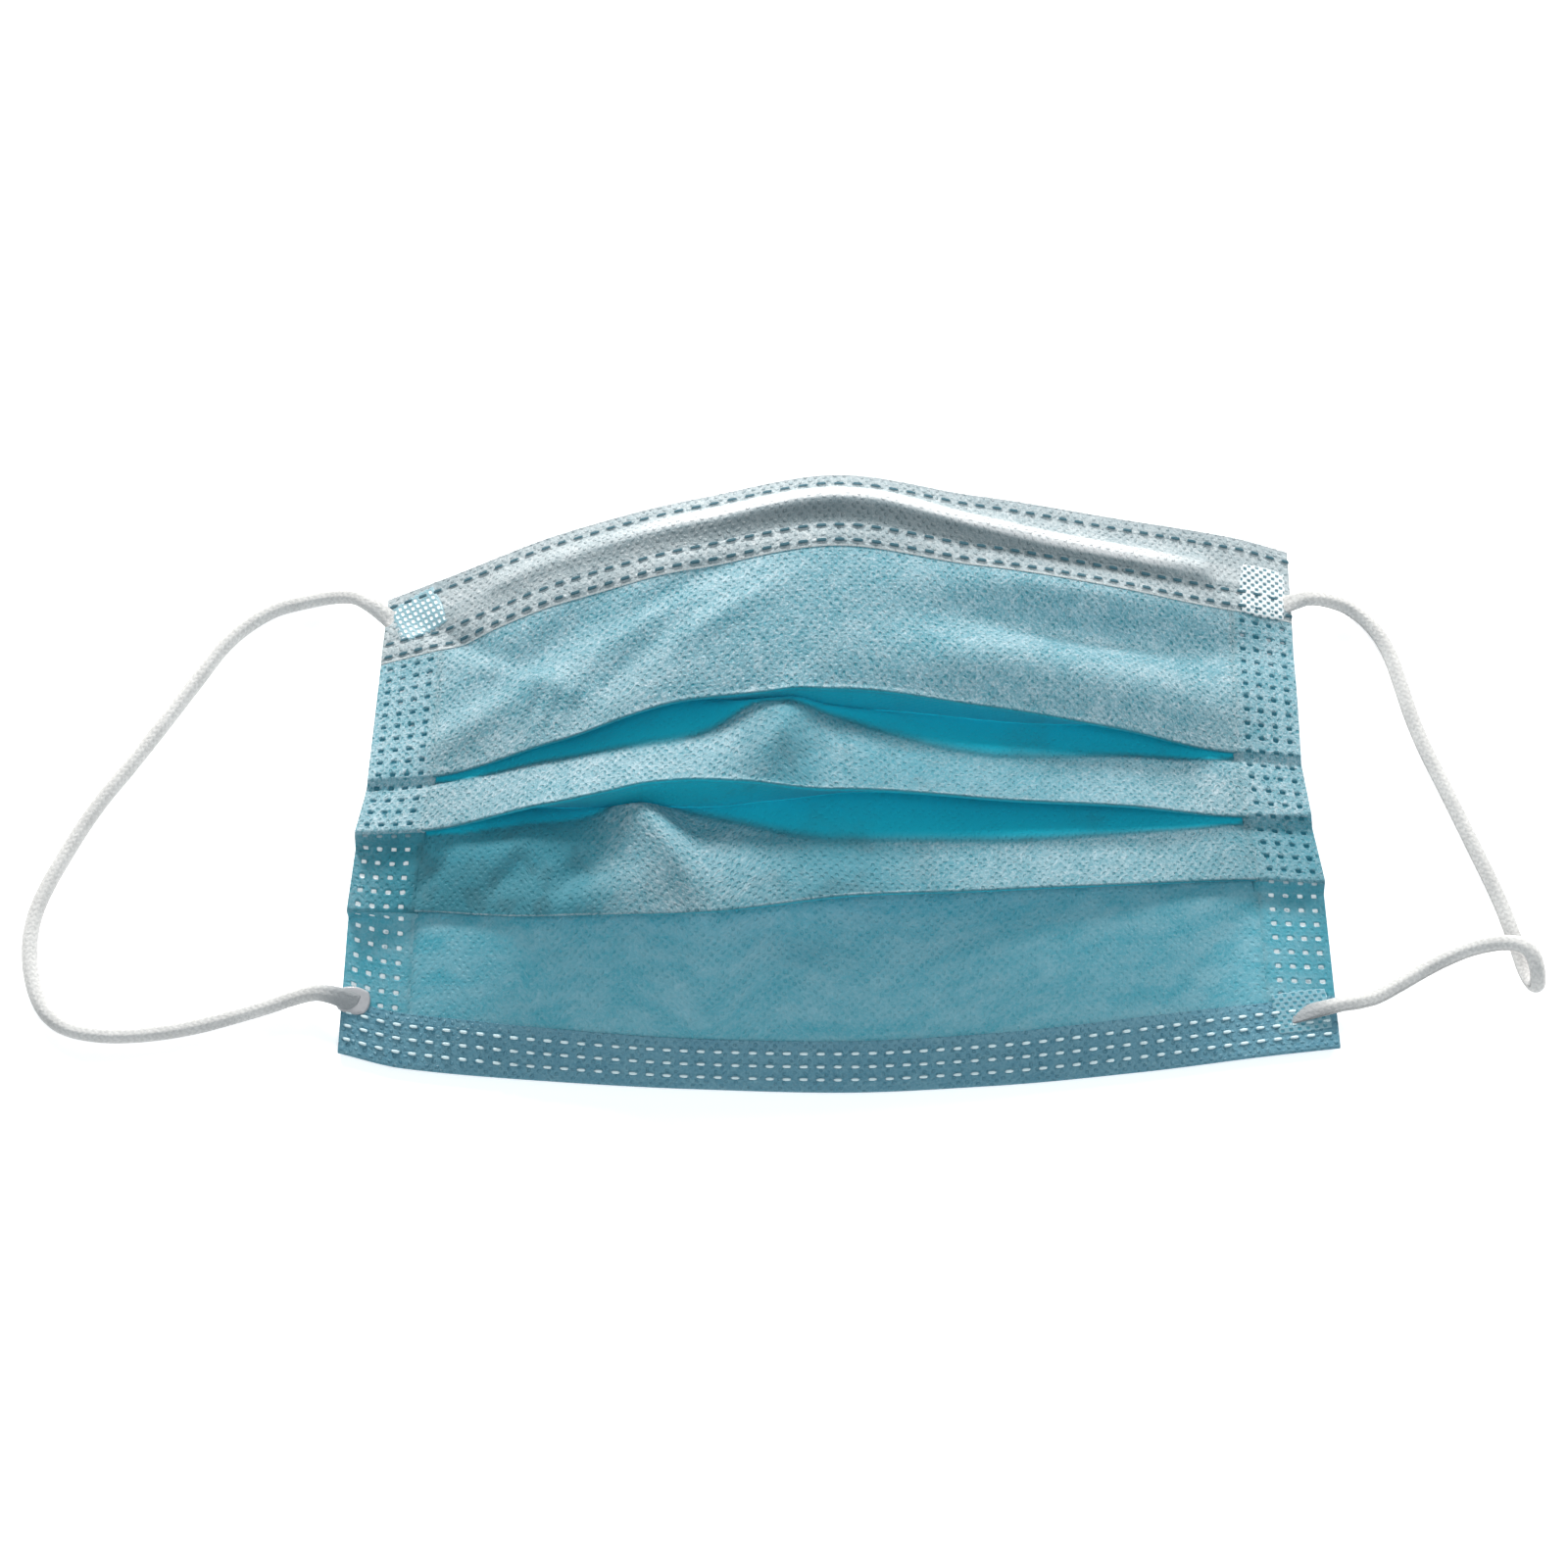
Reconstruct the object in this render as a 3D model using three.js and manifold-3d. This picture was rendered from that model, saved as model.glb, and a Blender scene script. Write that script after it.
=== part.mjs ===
import * as THREE from 'three';
import { mergeVertices } from 'three/addons/utils/BufferGeometryUtils.js';
import Module from 'manifold-3d';

// A disposable three-ply face mask, lying on its back with its pleats pulled a little open.
// Millimetres. X runs along the width, Y towards the nose edge, Z up, and the mask rests on Z = 0.

// Cloth: the plies are welded into one wall, laid in three pleats that open downwards
const CLOTH_WALL = 1.0;
const FOLD_GAP = 0.2;
const LAYER_STEP = CLOTH_WALL + FOLD_GAP;
const FOLD_RADIUS = LAYER_STEP / 2;
const PLEAT_DEPTH = 8.5;
const CLOSED_PLEAT_ANGLE = THREE.MathUtils.degToRad(9);
const HEM_HEIGHT = 9.4;
const HEM_FOOT = 2.2;

// Points along the cloth: how far from a hidden fold the two lie that stay under the fold above, how many
// follow, and where the last one comes before a fold, as a share of the upper panel
const UNDER_FOLD = [3, 6];
const UPPER_POINTS = 6;
const PANEL_POINTS = 5;
const LAST_BEFORE_FOLD = 0.9;

// Welded sides, in the half-width's own units: 1 is the side edge
const STRIP_START = 0.865;
const STRIP_BITE = 0.02;
const STRIP_PROUD = 0.1;
const PLEAT_RELEASE = 0.14;

// Points of each panel that the outline of a welded side follows: on top from the first that shows, and
// below up to the last that has no pleat under it
const SIDE_OUTLINE = [
  { panel: 1, topFrom: 0, belowTo: 4 },
  { panel: 2, topFrom: 2, belowTo: 3 },
  { panel: 3, topFrom: 2, belowTo: 3 },
  { panel: 4, topFrom: 2, belowTo: Infinity },
];

// Binding folded over the nose edge, with the flat nose wire inside it
const BINDING_WALL = 1.0;
const BINDING_HEIGHT = 15.4;
const LEAF_SHARES = [1, 0.62, 0.33];
const BEND_ANGLES = [90, 45, 0, -45, -90];
const PIECE_GAP = 0.3;
const WIRE_WIDTH = 4.0;
const WIRE_THICKNESS = 0.9;
const WIRE_FROM_EDGE = 6.7;
const WIRE_LEFT = -0.765;
const WIRE_RIGHT = 0.82;
const PANEL_FROM_EDGE = 9.6;
const LEAF_OFFSET = CLOTH_WALL / 2 + STRIP_PROUD + PIECE_GAP + BINDING_WALL / 2;

// Elastic ear loops and their flattened, welded ends
const LOOP_DIAMETER = 2.7;
const LOOP_SIDES = 8;
const LOOP_STEPS = { left: 62, right: 60 };
const TAB_THICKNESS = 0.8;

// Fold lines, from the nose edge down to the hem. Each row gives the half widths to the left and right,
// then y and z at nine stations across the mask: left edge, left strip, 0.6 and 0.3 left of the middle,
// middle, 0.3 and 0.6 right of it, right strip, right edge
const STATIONS = [-1, -0.87, -0.6, -0.3, 0, 0.3, 0.6, 0.87, 1];
const LINES = {
  noseEdge: {
    left: 81.5, right: 82.5,
    y: [41.7, 43.0, 46.9, 49.6, 52.9, 51.4, 51.8, 52.3, 51.5],
    z: [1.5, 7.2, 17.3, 25.4, 28.0, 23.0, 14.0, 5.8, 1.8],
  },
  foldOne: {
    left: 82.6, right: 82.3,
    y: [1.3, 2.1, 4.6, 9.6, 11.2, 10.1, 9.7, 9.3, 8.5],
    z: [10.8, 10.8, 20.3, 27.2, 27.8, 23.0, 14.2, 5.2, 5.2],
  },
  foldTwo: {
    left: 84.3, right: 83.5,
    y: [-9.1, -8.6, -7.7, -5.3, -7.3, -7.3, -5.3, -3.2, -3.1],
    z: [11.8, 11.8, 21.4, 26.5, 26.9, 23.0, 15.1, 5.6, 5.6],
  },
  foldThree: {
    left: 85.5, right: 85.3,
    y: [-22.0, -22.1, -26.6, -28.2, -25.5, -23.8, -19.8, -14.9, -15.4],
    z: [7.8, 7.8, 16.9, 22.1, 23.0, 21.5, 14.7, 4.8, 4.8],
  },
  hemEdge: {
    left: 86.7, right: 86.8,
    y: [-45.7, -48.5, -50.7, -52.2, -52.9, -51.7, -49.2, -46.1, -44.8],
    z: [1.6, 1.6, 1.6, 1.6, 1.6, 1.6, 1.6, 1.6, 1.6],
  },
};

// How far each panel swells above its straight line, in the middle of the mask
const PANEL_SWELL = [2.4, 0.8, 0.8, 3.4];

// Soft dents and ridges of the worn cloth. x and y place them, long and wide are half lengths,
// turn is the direction of the long one in degrees, and rise is the height, down when negative
const DENTS = [
  { x: 50, y: 25.7, long: 24, wide: 4.5, turn: -12, rise: -2.6 },
  { x: 46, y: 33.7, long: 22, wide: 4.0, turn: -10, rise: 1.4 },
  { x: -52, y: 22.7, long: 14, wide: 4.5, turn: 32, rise: -1.8 },
  { x: -36, y: 17.7, long: 12, wide: 4.0, turn: 40, rise: -1.4 },
  { x: -62, y: 12.7, long: 12, wide: 3.6, turn: 28, rise: 1.2 },
  { x: 24, y: 18.7, long: 14, wide: 5.0, turn: 8, rise: 1.2 },
  { x: -10, y: 3.7, long: 9, wide: 3.6, turn: 65, rise: 2.2 },
  { x: -29, y: -16.3, long: 9, wide: 3.2, turn: -62, rise: 2.2 },
  { x: -46, y: -18.3, long: 13, wide: 4.5, turn: 12, rise: -2.4 },
  { x: -6, y: -30.3, long: 6, wide: 3.4, turn: 0, rise: -1.2 },
  { x: 30, y: -34.3, long: 16, wide: 6.0, turn: 14, rise: 1.0 },
];
const DENT_FADE_FROM = -43;
const DENT_FADE_TO = -35;

// Ear loop centre lines. The first and last points are the exits at the welded ends, and the rest of
// the cord lies on the surface. The right one turns back over itself at its far end
const LOOP_ROUTES = {
  left: [
    [-82.9, 38.0, 5.2], [-84.6, 39.5, 4.8], [-87.4, 41.2, 3.3], [-91.4, 41.9, 2.0],
    [-96.1, 41.3, 1.5], [-101.8, 39.6, 1.5], [-106.7, 36.4, 1.5], [-110.9, 32.1, 1.5],
    [-114.9, 25.9, 1.5], [-118.9, 19.6, 1.5], [-122.9, 13.4, 1.5], [-126.8, 7.5, 1.5],
    [-130.4, 2.3, 1.5], [-133.7, -3.3, 1.5], [-136.8, -9.5, 1.5], [-139.4, -15.3, 1.5],
    [-141.0, -20.5, 1.5], [-141.5, -25.7, 1.5], [-140.9, -30.9, 1.5], [-139.5, -35.4, 1.5],
    [-137.4, -38.9, 1.5], [-134.4, -41.2, 1.5], [-130.2, -42.4, 1.5], [-124.7, -42.8, 1.5],
    [-118.1, -42.3, 1.5], [-111.5, -41.1, 1.5], [-105.5, -39.4, 1.5], [-99.5, -37.5, 1.5],
    [-94.7, -36.1, 2.2], [-90.8, -35.6, 3.4], [-87.3, -36.4, 4.2],
  ],
  right: [
    [83.1, 40.1, 5.0], [85.6, 40.6, 4.6], [89.0, 40.7, 3.2], [92.8, 39.9, 1.9],
    [96.0, 37.5, 1.5], [98.5, 34.0, 1.5], [100.2, 29.9, 1.5], [101.6, 24.5, 1.5],
    [103.1, 18.3, 1.5], [105.2, 11.7, 1.5], [107.8, 5.1, 1.5], [110.5, -1.9, 1.5],
    [113.0, -8.5, 1.5], [115.2, -14.3, 1.5], [117.0, -19.7, 1.5], [118.5, -25.3, 1.5],
    [119.7, -30.3, 1.5], [120.6, -33.5, 2.9], [120.9, -34.8, 5.7], [120.5, -33.5, 8.6],
    [119.5, -30.7, 9.9], [117.5, -28.9, 9.5], [114.2, -28.0, 7.6], [109.8, -28.1, 5.0],
    [105.4, -29.3, 2.8], [101.1, -31.3, 1.7], [97.3, -33.5, 1.5], [93.6, -35.6, 1.7],
    [90.2, -36.9, 2.6], [87.3, -37.5, 3.3],
  ],
};

// Welded ends: side of the mask, the sheet edge they are measured from, their middle's distance from
// that edge, and their size along x and y
const TABS = [
  { name: 'weld_tab_top_left', side: -1, edge: 'nose', distance: 4.6, long: 9.0, tall: 6.4 },
  { name: 'weld_tab_top_right', side: 1, edge: 'nose', distance: 10.0, long: 9.0, tall: 7.0 },
  { name: 'weld_tab_bottom_left', side: -1, edge: 'hem', distance: 10.8, long: 6.0, tall: 4.4 },
  { name: 'weld_tab_bottom_right', side: 1, edge: 'hem', distance: 8.6, long: 12.0, tall: 5.0 },
];

const PANEL_COLUMNS = 31;
const BINDING_COLUMNS = 27;
const WIRE_COLUMNS = 17;
const MERGE_DISTANCE = 1e-4;

const OUTER_BLUE = 0x8cc4d2;
const BINDING_WHITE = 0xc9d6dc;
const WIRE_GREY = 0xb8bcc0;
const ELASTIC_WHITE = 0xdad7d6;

// Evenly spread numbers, both ends included
const spread = (from, to, count) => (
  Array.from({ length: count }, (_, i) => from + ((to - from) * i) / (count - 1)));

// Plain vectors in the section plane, as [y, z]
const add = (a, b, k = 1) => [a[0] + b[0] * k, a[1] + b[1] * k];
const lerp = (a, b, t) => [a[0] + (b[0] - a[0]) * t, a[1] + (b[1] - a[1]) * t];
const dot = (a, b) => a[0] * b[0] + a[1] * b[1];
const distance = (a, b) => Math.hypot(b[0] - a[0], b[1] - a[1]);
const unit = (a) => [a[0] / Math.hypot(a[0], a[1]), a[1] / Math.hypot(a[0], a[1])];
const towards = (a, b) => unit([b[0] - a[0], b[1] - a[1]]);

// Angle of a direction, from straight towards the hem, turning downwards: up to half a turn either way, or
// from nothing to a full turn
const signedAngleOf = (v) => Math.atan2(-v[1], -v[0]);
const angleOf = (v) => (signedAngleOf(v) + 2 * Math.PI) % (2 * Math.PI);
const fromAngle = (angle) => [-Math.cos(angle), -Math.sin(angle)];

// The front of the cloth is on the left of its travel from the nose edge to the hem
const frontOf = (travel) => [travel[1], -travel[0]];

// Slopes that keep a curve through the stations from overshooting
function stationSlopes(values) {
  const steps = STATIONS.slice(1).map((s, i) => (values[i + 1] - values[i]) / (s - STATIONS[i]));
  return values.map((value, i) => {
    if (i === 0) return steps[0];
    if (i === values.length - 1) return steps[i - 1];
    const [before, after] = [steps[i - 1], steps[i]];
    return before * after <= 0 ? 0 : (2 * before * after) / (before + after);
  });
}

// Value of a table row anywhere between its stations
function across(values, s) {
  const slopes = stationSlopes(values);
  const i = Math.min(STATIONS.length - 2, Math.max(0, STATIONS.findLastIndex((station) => station <= s)));
  const width = STATIONS[i + 1] - STATIONS[i];
  const t = (s - STATIONS[i]) / width;
  const rise = t * t * (3 - 2 * t);
  const leave = t * (1 - t) * (1 - t) * width;
  const arrive = t * t * (t - 1) * width;
  return values[i] + (values[i + 1] - values[i]) * rise + slopes[i] * leave + slopes[i + 1] * arrive;
}

const linePoint = (line, s) => [across(LINES[line].y, s), across(LINES[line].z, s)];

// Half width of the mask at a height y of station s, straight between the fold lines
function halfWidth(s, y) {
  const rows = Object.keys(LINES).map((name) => ({
    y: across(LINES[name].y, s),
    half: s < 0 ? LINES[name].left : LINES[name].right,
  }));
  const i = Math.min(rows.length - 2, Math.max(0, rows.findIndex((row) => row.y < y) - 1));
  const t = THREE.MathUtils.clamp((y - rows[i].y) / (rows[i + 1].y - rows[i].y), 0, 1);
  return rows[i].half + (rows[i + 1].half - rows[i].half) * t;
}

function dentHeight(x, y) {
  const fade = THREE.MathUtils.smoothstep(y, DENT_FADE_FROM, DENT_FADE_TO);
  return fade * DENTS.reduce((height, dent) => {
    const turn = THREE.MathUtils.degToRad(dent.turn);
    const [dx, dy] = [x - dent.x, y - dent.y];
    const u = (dx * Math.cos(turn) + dy * Math.sin(turn)) / dent.long;
    const v = (dy * Math.cos(turn) - dx * Math.sin(turn)) / dent.wide;
    return height + dent.rise * Math.exp(-u * u - v * v);
  }, 0);
}

// A point of station s in space, with the dents pressed in
function place(s, [y, z]) {
  const x = s * halfWidth(s, y);
  return new THREE.Vector3(x, y, z + dentHeight(x, y));
}

// 1 in the middle of the mask and 0 from the welded sides outwards
const swellAt = (s) => Math.max(0, 1 - (s / STRIP_START) ** 2);

// Points from start to end, swollen upwards, at the given distances from start
function panelPoints(start, end, swell, distances) {
  const length = distance(start, end);
  const up = frontOf(towards(start, end));
  return distances.map((d) => {
    const t = d / length;
    return add(lerp(start, end, t), up, swell * 4 * t * (1 - t));
  });
}

// Three points round a fold's tip. away holds the directions of its two layers, first the one before it
function foldPoints(tip, away, travel) {
  const out = unit([-away[0][0] - away[1][0], -away[0][1] - away[1][1]]);
  const side = travel === 'outside' ? frontOf(out) : [-out[1], out[0]];
  const back = add(tip, out, -FOLD_RADIUS);
  return [
    { at: add(back, side, FOLD_RADIUS), travel: [-away[0][0], -away[0][1]] },
    { at: tip, travel: [-side[0], -side[1]] },
    { at: add(back, side, -FOLD_RADIUS), travel: away[1] },
  ];
}

// Where the pleat under fold tip turns back: its cloth is as long as the closed pleat's, so the pleat
// opens downwards as the next fold is pulled away
function hiddenFold(s, tip, behind, next, closedLength) {
  const closed = angleOf(towards(tip, behind)) - CLOSED_PLEAT_ANGLE;
  const chord = distance(tip, next);
  const panel = PLEAT_DEPTH + closedLength;
  const cosine = (PLEAT_DEPTH ** 2 + chord ** 2 - panel ** 2) / (2 * PLEAT_DEPTH * chord);
  const ahead = signedAngleOf(towards(tip, next));
  const open = Math.min(ahead + Math.acos(THREE.MathUtils.clamp(cosine, -1, 1)), closed);
  const release = THREE.MathUtils.smoothstep(STRIP_START - Math.abs(s), 0, PLEAT_RELEASE);
  return add(tip, fromAngle(closed + (open - closed) * release), PLEAT_DEPTH);
}

// Keeps a point of the lowest layer one layer step below the middle layer, which lies half a step below
// the line between the pleat's two tips
function pressBelow(point, tip, hidden) {
  const along = towards(hidden, tip);
  const below = [-along[1], along[0]];
  const depth = dot([point[0] - tip[0], point[1] - tip[1]], below);
  const least = 1.5 * LAYER_STEP;
  return depth < least ? add(point, below, least - depth) : point;
}

// Middle line of the cloth at station s: every point with its direction of travel
function clothLine(s) {
  const nose = linePoint('noseEdge', s);
  const folds = ['foldOne', 'foldTwo', 'foldThree'].map((name) => linePoint(name, s));
  const hem = linePoint('hemEdge', s);
  const swell = PANEL_SWELL.map((height) => height * swellAt(s));
  const overlap = PLEAT_DEPTH + FOLD_RADIUS + CLOTH_WALL / 2;
  const pieces = { panels: [], folds: [], hidden: [] };

  let start = nose;
  folds.forEach((tip, k) => {
    const first = k === 0;
    const length = distance(start, tip);
    const distances = first
      ? spread(PANEL_FROM_EDGE, length * LAST_BEFORE_FOLD, UPPER_POINTS)
      : [...UNDER_FOLD, ...spread(overlap, length, PANEL_POINTS).slice(0, -2)];
    let points = panelPoints(start, tip, swell[k], distances);
    if (!first) {
      const [upperTip, upperHidden] = [folds[k - 1], pieces.hidden[k - 1].tip];
      points = points.map((p, i) => (i < 3 ? pressBelow(p, upperTip, upperHidden) : p));
    }
    const behind = points[points.length - 2];
    const next = folds[k + 1] ?? hem;
    const closed = [-STRIP_START, STRIP_START].map((edge) => {
      const names = ['foldOne', 'foldTwo', 'foldThree', 'hemEdge'];
      return distance(linePoint(names[k], edge), linePoint(names[k + 1], edge));
    });
    const hidden = hiddenFold(s, tip, behind, next, closed[0] + ((closed[1] - closed[0]) * (s + 1)) / 2);
    const underlay = towards(tip, hidden);
    pieces.panels.push(points);
    pieces.folds.push(foldPoints(tip, [towards(tip, points[points.length - 1]), underlay], 'outside'));
    pieces.hidden.push({ tip: hidden, underlay });
    start = hidden;
  });

  // The lowest panel ends in the hem, whose edge lies flat on its foot
  const hemStart = distance(start, hem) - HEM_HEIGHT;
  const distances = [...UNDER_FOLD, ...spread(overlap, hemStart, PANEL_POINTS)];
  const lower = panelPoints(start, hem, swell[3], distances);
  pieces.panels.push([
    ...lower.map((p, i) => (i < 3 ? pressBelow(p, folds[2], pieces.hidden[2].tip) : p)),
    add(hem, [HEM_FOOT, 0]),
    hem,
  ]);
  return pieces;
}

// Adds directions of travel to plain points, from their neighbours
function withTravel(points, before, after) {
  return points.map((at, i) => ({
    at,
    travel: towards(points[i - 1] ?? before ?? at, points[i + 1] ?? after ?? at),
  }));
}

// The cloth's middle line as one list from the nose edge to the hem, with named parts
function clothPath(s) {
  const pieces = clothLine(s);
  const path = [];
  pieces.panels.forEach((points, k) => {
    const hidden = pieces.hidden[k - 1];
    if (hidden) {
      const above = pieces.folds[k - 1][2].at;
      const middle = lerp(above, hidden.tip, 0.5);
      path.push({ at: middle, travel: hidden.underlay, part: `under${k}` });
      const back = [-hidden.underlay[0], -hidden.underlay[1]];
      const turn = foldPoints(hidden.tip, [back, towards(hidden.tip, points[0])], 'inside');
      turn.forEach((point) => path.push({ ...point, part: `turn${k}` }));
    }
    const fold = pieces.folds[k];
    const before = hidden ? path[path.length - 1].at : linePoint('noseEdge', s);
    withTravel(points, before, fold?.[0].at ?? points[points.length - 1])
      .forEach((point) => path.push({ ...point, part: `panel${k + 1}` }));
    fold?.forEach((point) => path.push({ ...point, part: `fold${k + 1}` }));
  });
  return path.map((point, i) => (i < path.length - 2 ? point : { ...point, travel: [-1, 0] }));
}

// Front and back of the wall at every point of the path. The hem is folded to the back, so it is double
function wallSides(path, proud = 0) {
  const hemStart = path.length - 3;
  return path.map((point, i) => {
    const front = frontOf(point.travel);
    const backWall = i >= hemStart ? CLOTH_WALL * 1.5 : CLOTH_WALL / 2;
    return {
      part: point.part,
      front: add(point.at, front, CLOTH_WALL / 2 + proud),
      back: add(point.at, front, -backWall - proud),
    };
  });
}

// Closed solid through sections with the same number of points, which lie in planes across X
function loft(sections) {
  const count = sections[0].length;
  const positions = sections.flatMap((section) => section.flatMap((p) => [p.x, p.y, p.z]));
  const triangles = [];
  for (let i = 0; i < sections.length - 1; i += 1) {
    for (let j = 0; j < count; j += 1) {
      const [a, b] = [i * count + j, i * count + ((j + 1) % count)];
      triangles.push(a, b, a + count, b, b + count, a + count);
    }
  }
  const last = (sections.length - 1) * count;
  const ends = [[sections[0], 0, true], [sections[sections.length - 1], last, false]];
  ends.forEach(([section, base, flip]) => {
    const outline = section.map((p) => new THREE.Vector2(p.y, p.z));
    const clockwise = THREE.ShapeUtils.isClockWise(outline);
    THREE.ShapeUtils.triangulateShape(outline, []).forEach(([a, b, c]) => {
      const turned = flip ? [a, b, c] : [a, c, b];
      triangles.push(...(clockwise ? turned : turned.reverse()).map((index) => base + index));
    });
  });
  const geometry = new THREE.BufferGeometry();
  geometry.setAttribute('position', new THREE.Float32BufferAttribute(positions, 3));
  geometry.setIndex(triangles);
  return facingOut(geometry);
}

// Turns a closed geometry's triangles round if they face inwards
function facingOut(geometry) {
  const { array } = geometry.getAttribute('position');
  const index = geometry.getIndex().array;
  const corner = (i) => new THREE.Vector3().fromArray(array, index[i] * 3);
  let volume = 0;
  for (let i = 0; i < index.length; i += 3) {
    volume += corner(i).dot(corner(i + 1).cross(corner(i + 2)));
  }
  if (volume < 0) {
    for (let i = 0; i < index.length; i += 3) {
      [index[i + 1], index[i + 2]] = [index[i + 2], index[i + 1]];
    }
  }
  return geometry;
}

// The pleated sheet between the welded sides
function openCloth() {
  const reach = STRIP_START + STRIP_BITE;
  const inner = spread(-STRIP_START, STRIP_START, PANEL_COLUMNS);
  return loft([-reach, ...inner, reach].map((s) => {
    const sides = wallSides(clothPath(s));
    const outline = [...sides.map((side) => side.front), ...sides.map((side) => side.back).reverse()];
    return outline.map((point) => place(s, point));
  }));
}

// One welded side: the outer shape of the stacked pleats, solid all through
function weldedSide(side) {
  const stations = [STRIP_START, STRIP_START + STRIP_BITE, (STRIP_START + 1) / 2, 1];
  return loft(stations.map((station) => {
    const s = side * station;
    const sides = wallSides(clothPath(s), STRIP_PROUD);
    const part = (name) => sides.filter((point) => point.part === name);
    const top = SIDE_OUTLINE.flatMap(({ panel, topFrom }) => [
      ...part(`panel${panel}`).slice(topFrom),
      ...part(`fold${panel}`).slice(0, 2),
    ]);
    const below = SIDE_OUTLINE.flatMap(({ panel, belowTo }) => [
      ...part(`turn${panel - 1}`).slice(1),
      ...part(`panel${panel}`).slice(0, belowTo),
    ]);
    const outline = [...top.map((point) => point.front), ...below.map((point) => point.back).reverse()];
    return outline.map((point) => place(s, point));
  }));
}

// Booleans: a welded mesh becomes a solid, and a solid a geometry
function toSolid(wasm, geometry) {
  const plain = geometry.clone();
  plain.deleteAttribute('normal');
  plain.deleteAttribute('uv');
  const merged = mergeVertices(plain, MERGE_DISTANCE);
  return new wasm.Manifold(new wasm.Mesh({
    numProp: 3,
    vertProperties: new Float32Array(merged.getAttribute('position').array),
    triVerts: new Uint32Array(merged.getIndex().array),
  }));
}

function toGeometry(solid) {
  const mesh = solid.getMesh();
  const geometry = new THREE.BufferGeometry();
  geometry.setAttribute('position', new THREE.BufferAttribute(new Float32Array(mesh.vertProperties), 3));
  geometry.setIndex(new THREE.BufferAttribute(new Uint32Array(mesh.triVerts), 1));
  return geometry;
}

function pleatedPanel(wasm) {
  const solids = [openCloth(), weldedSide(-1), weldedSide(1)].map((geometry) => toSolid(wasm, geometry));
  return toGeometry(solids.reduce((joined, solid) => joined.add(solid)));
}

// Upper panel's middle line at a distance from the nose edge, with its direction towards the hem
function upperPanelAt(s, fromEdge) {
  const nose = linePoint('noseEdge', s);
  const tip = linePoint('foldOne', s);
  const step = 0.5;
  const [here, beyond] = panelPoints(nose, tip, PANEL_SWELL[0] * swellAt(s), [fromEdge, fromEdge + step]);
  return { at: here, travel: towards(here, beyond) };
}

// Binding: a strip folded over the nose edge, one leaf in front of the panel and one behind it
function topBinding() {
  const leafDistances = LEAF_SHARES.map((share) => share * BINDING_HEIGHT);
  const outer = LEAF_OFFSET + BINDING_WALL / 2;
  const turns = BEND_ANGLES.map(THREE.MathUtils.degToRad);
  return loft(spread(-1, 1, BINDING_COLUMNS).map((s) => {
    const leaf = (offset) => leafDistances.map((d) => {
      const { at, travel } = upperPanelAt(s, d);
      return add(at, frontOf(travel), offset);
    });
    const { at: centre, travel } = upperPanelAt(s, outer);
    const front = frontOf(travel);
    const bend = (radius) => turns.map((turn) => (
      add(add(centre, front, radius * Math.sin(turn)), travel, -radius * Math.cos(turn))));
    const inner = outer - BINDING_WALL;
    const outline = [
      ...leaf(outer), ...bend(outer), ...leaf(-outer).reverse(),
      ...leaf(-inner), ...bend(inner).reverse(), ...leaf(inner).reverse(),
    ];
    return outline.map((point) => place(s, point));
  }));
}

// Flat wire inside the binding, just above the panel's own edge
function noseWire() {
  const half = [WIRE_WIDTH / 2, WIRE_THICKNESS / 2];
  return loft(spread(WIRE_LEFT, WIRE_RIGHT, WIRE_COLUMNS).map((s) => {
    const { at, travel } = upperPanelAt(s, WIRE_FROM_EDGE);
    const front = frontOf(travel);
    return [[-1, -1], [1, -1], [1, 1], [-1, 1]].map(([along, up]) => (
      place(s, add(add(at, travel, along * half[0]), front, up * half[1]))));
  }));
}

// Flattened loop end, welded on the front of a corner
function weldTab({ side, edge, distance: fromEdge, long, tall }) {
  const half = edge === 'nose' ? LINES.noseEdge : LINES.hemEdge;
  const width = side < 0 ? half.left : half.right;
  const clothFront = CLOTH_WALL / 2 + STRIP_PROUD;
  const lift = PIECE_GAP + (edge === 'nose' ? LEAF_OFFSET + BINDING_WALL / 2 : clothFront);
  return loft([1, 1 - long / width / 2, 1 - long / width].map((station) => {
    const s = side * station;
    const spots = [fromEdge - tall / 2, fromEdge, fromEdge + tall / 2].map((d) => (
      edge === 'nose' ? upperPanelAt(s, d) : lowerPanelAt(s, d)));
    const under = spots.map(({ at, travel }) => add(at, frontOf(travel), lift));
    const over = spots.map(({ at, travel }) => add(at, frontOf(travel), lift + TAB_THICKNESS));
    return [...under, ...over.reverse()].map((point) => place(s, point));
  }));
}

// Lowest panel's middle line at a distance from the hem's edge
function lowerPanelAt(s, fromEdge) {
  const points = clothLine(s).panels[3];
  let left = fromEdge;
  for (let i = points.length - 1; i > 0; i -= 1) {
    const length = distance(points[i], points[i - 1]);
    if (left <= length) {
      const at = lerp(points[i], points[i - 1], left / length);
      return { at, travel: towards(points[i - 1], points[i]) };
    }
    left -= length;
  }
  return { at: points[0], travel: towards(points[0], points[1]) };
}

function earLoop(side) {
  const route = LOOP_ROUTES[side].map(([x, y, z]) => new THREE.Vector3(x, y, z));
  const curve = new THREE.CatmullRomCurve3(route, false, 'centripetal');
  const section = new THREE.Shape(spread(0, LOOP_SIDES - 1, LOOP_SIDES).map((i) => {
    const angle = ((i + 0.5) / LOOP_SIDES) * 2 * Math.PI;
    return new THREE.Vector2(Math.cos(angle), Math.sin(angle)).multiplyScalar(LOOP_DIAMETER / 2);
  }));
  return new THREE.ExtrudeGeometry(section, { steps: LOOP_STEPS[side], extrudePath: curve });
}

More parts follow.
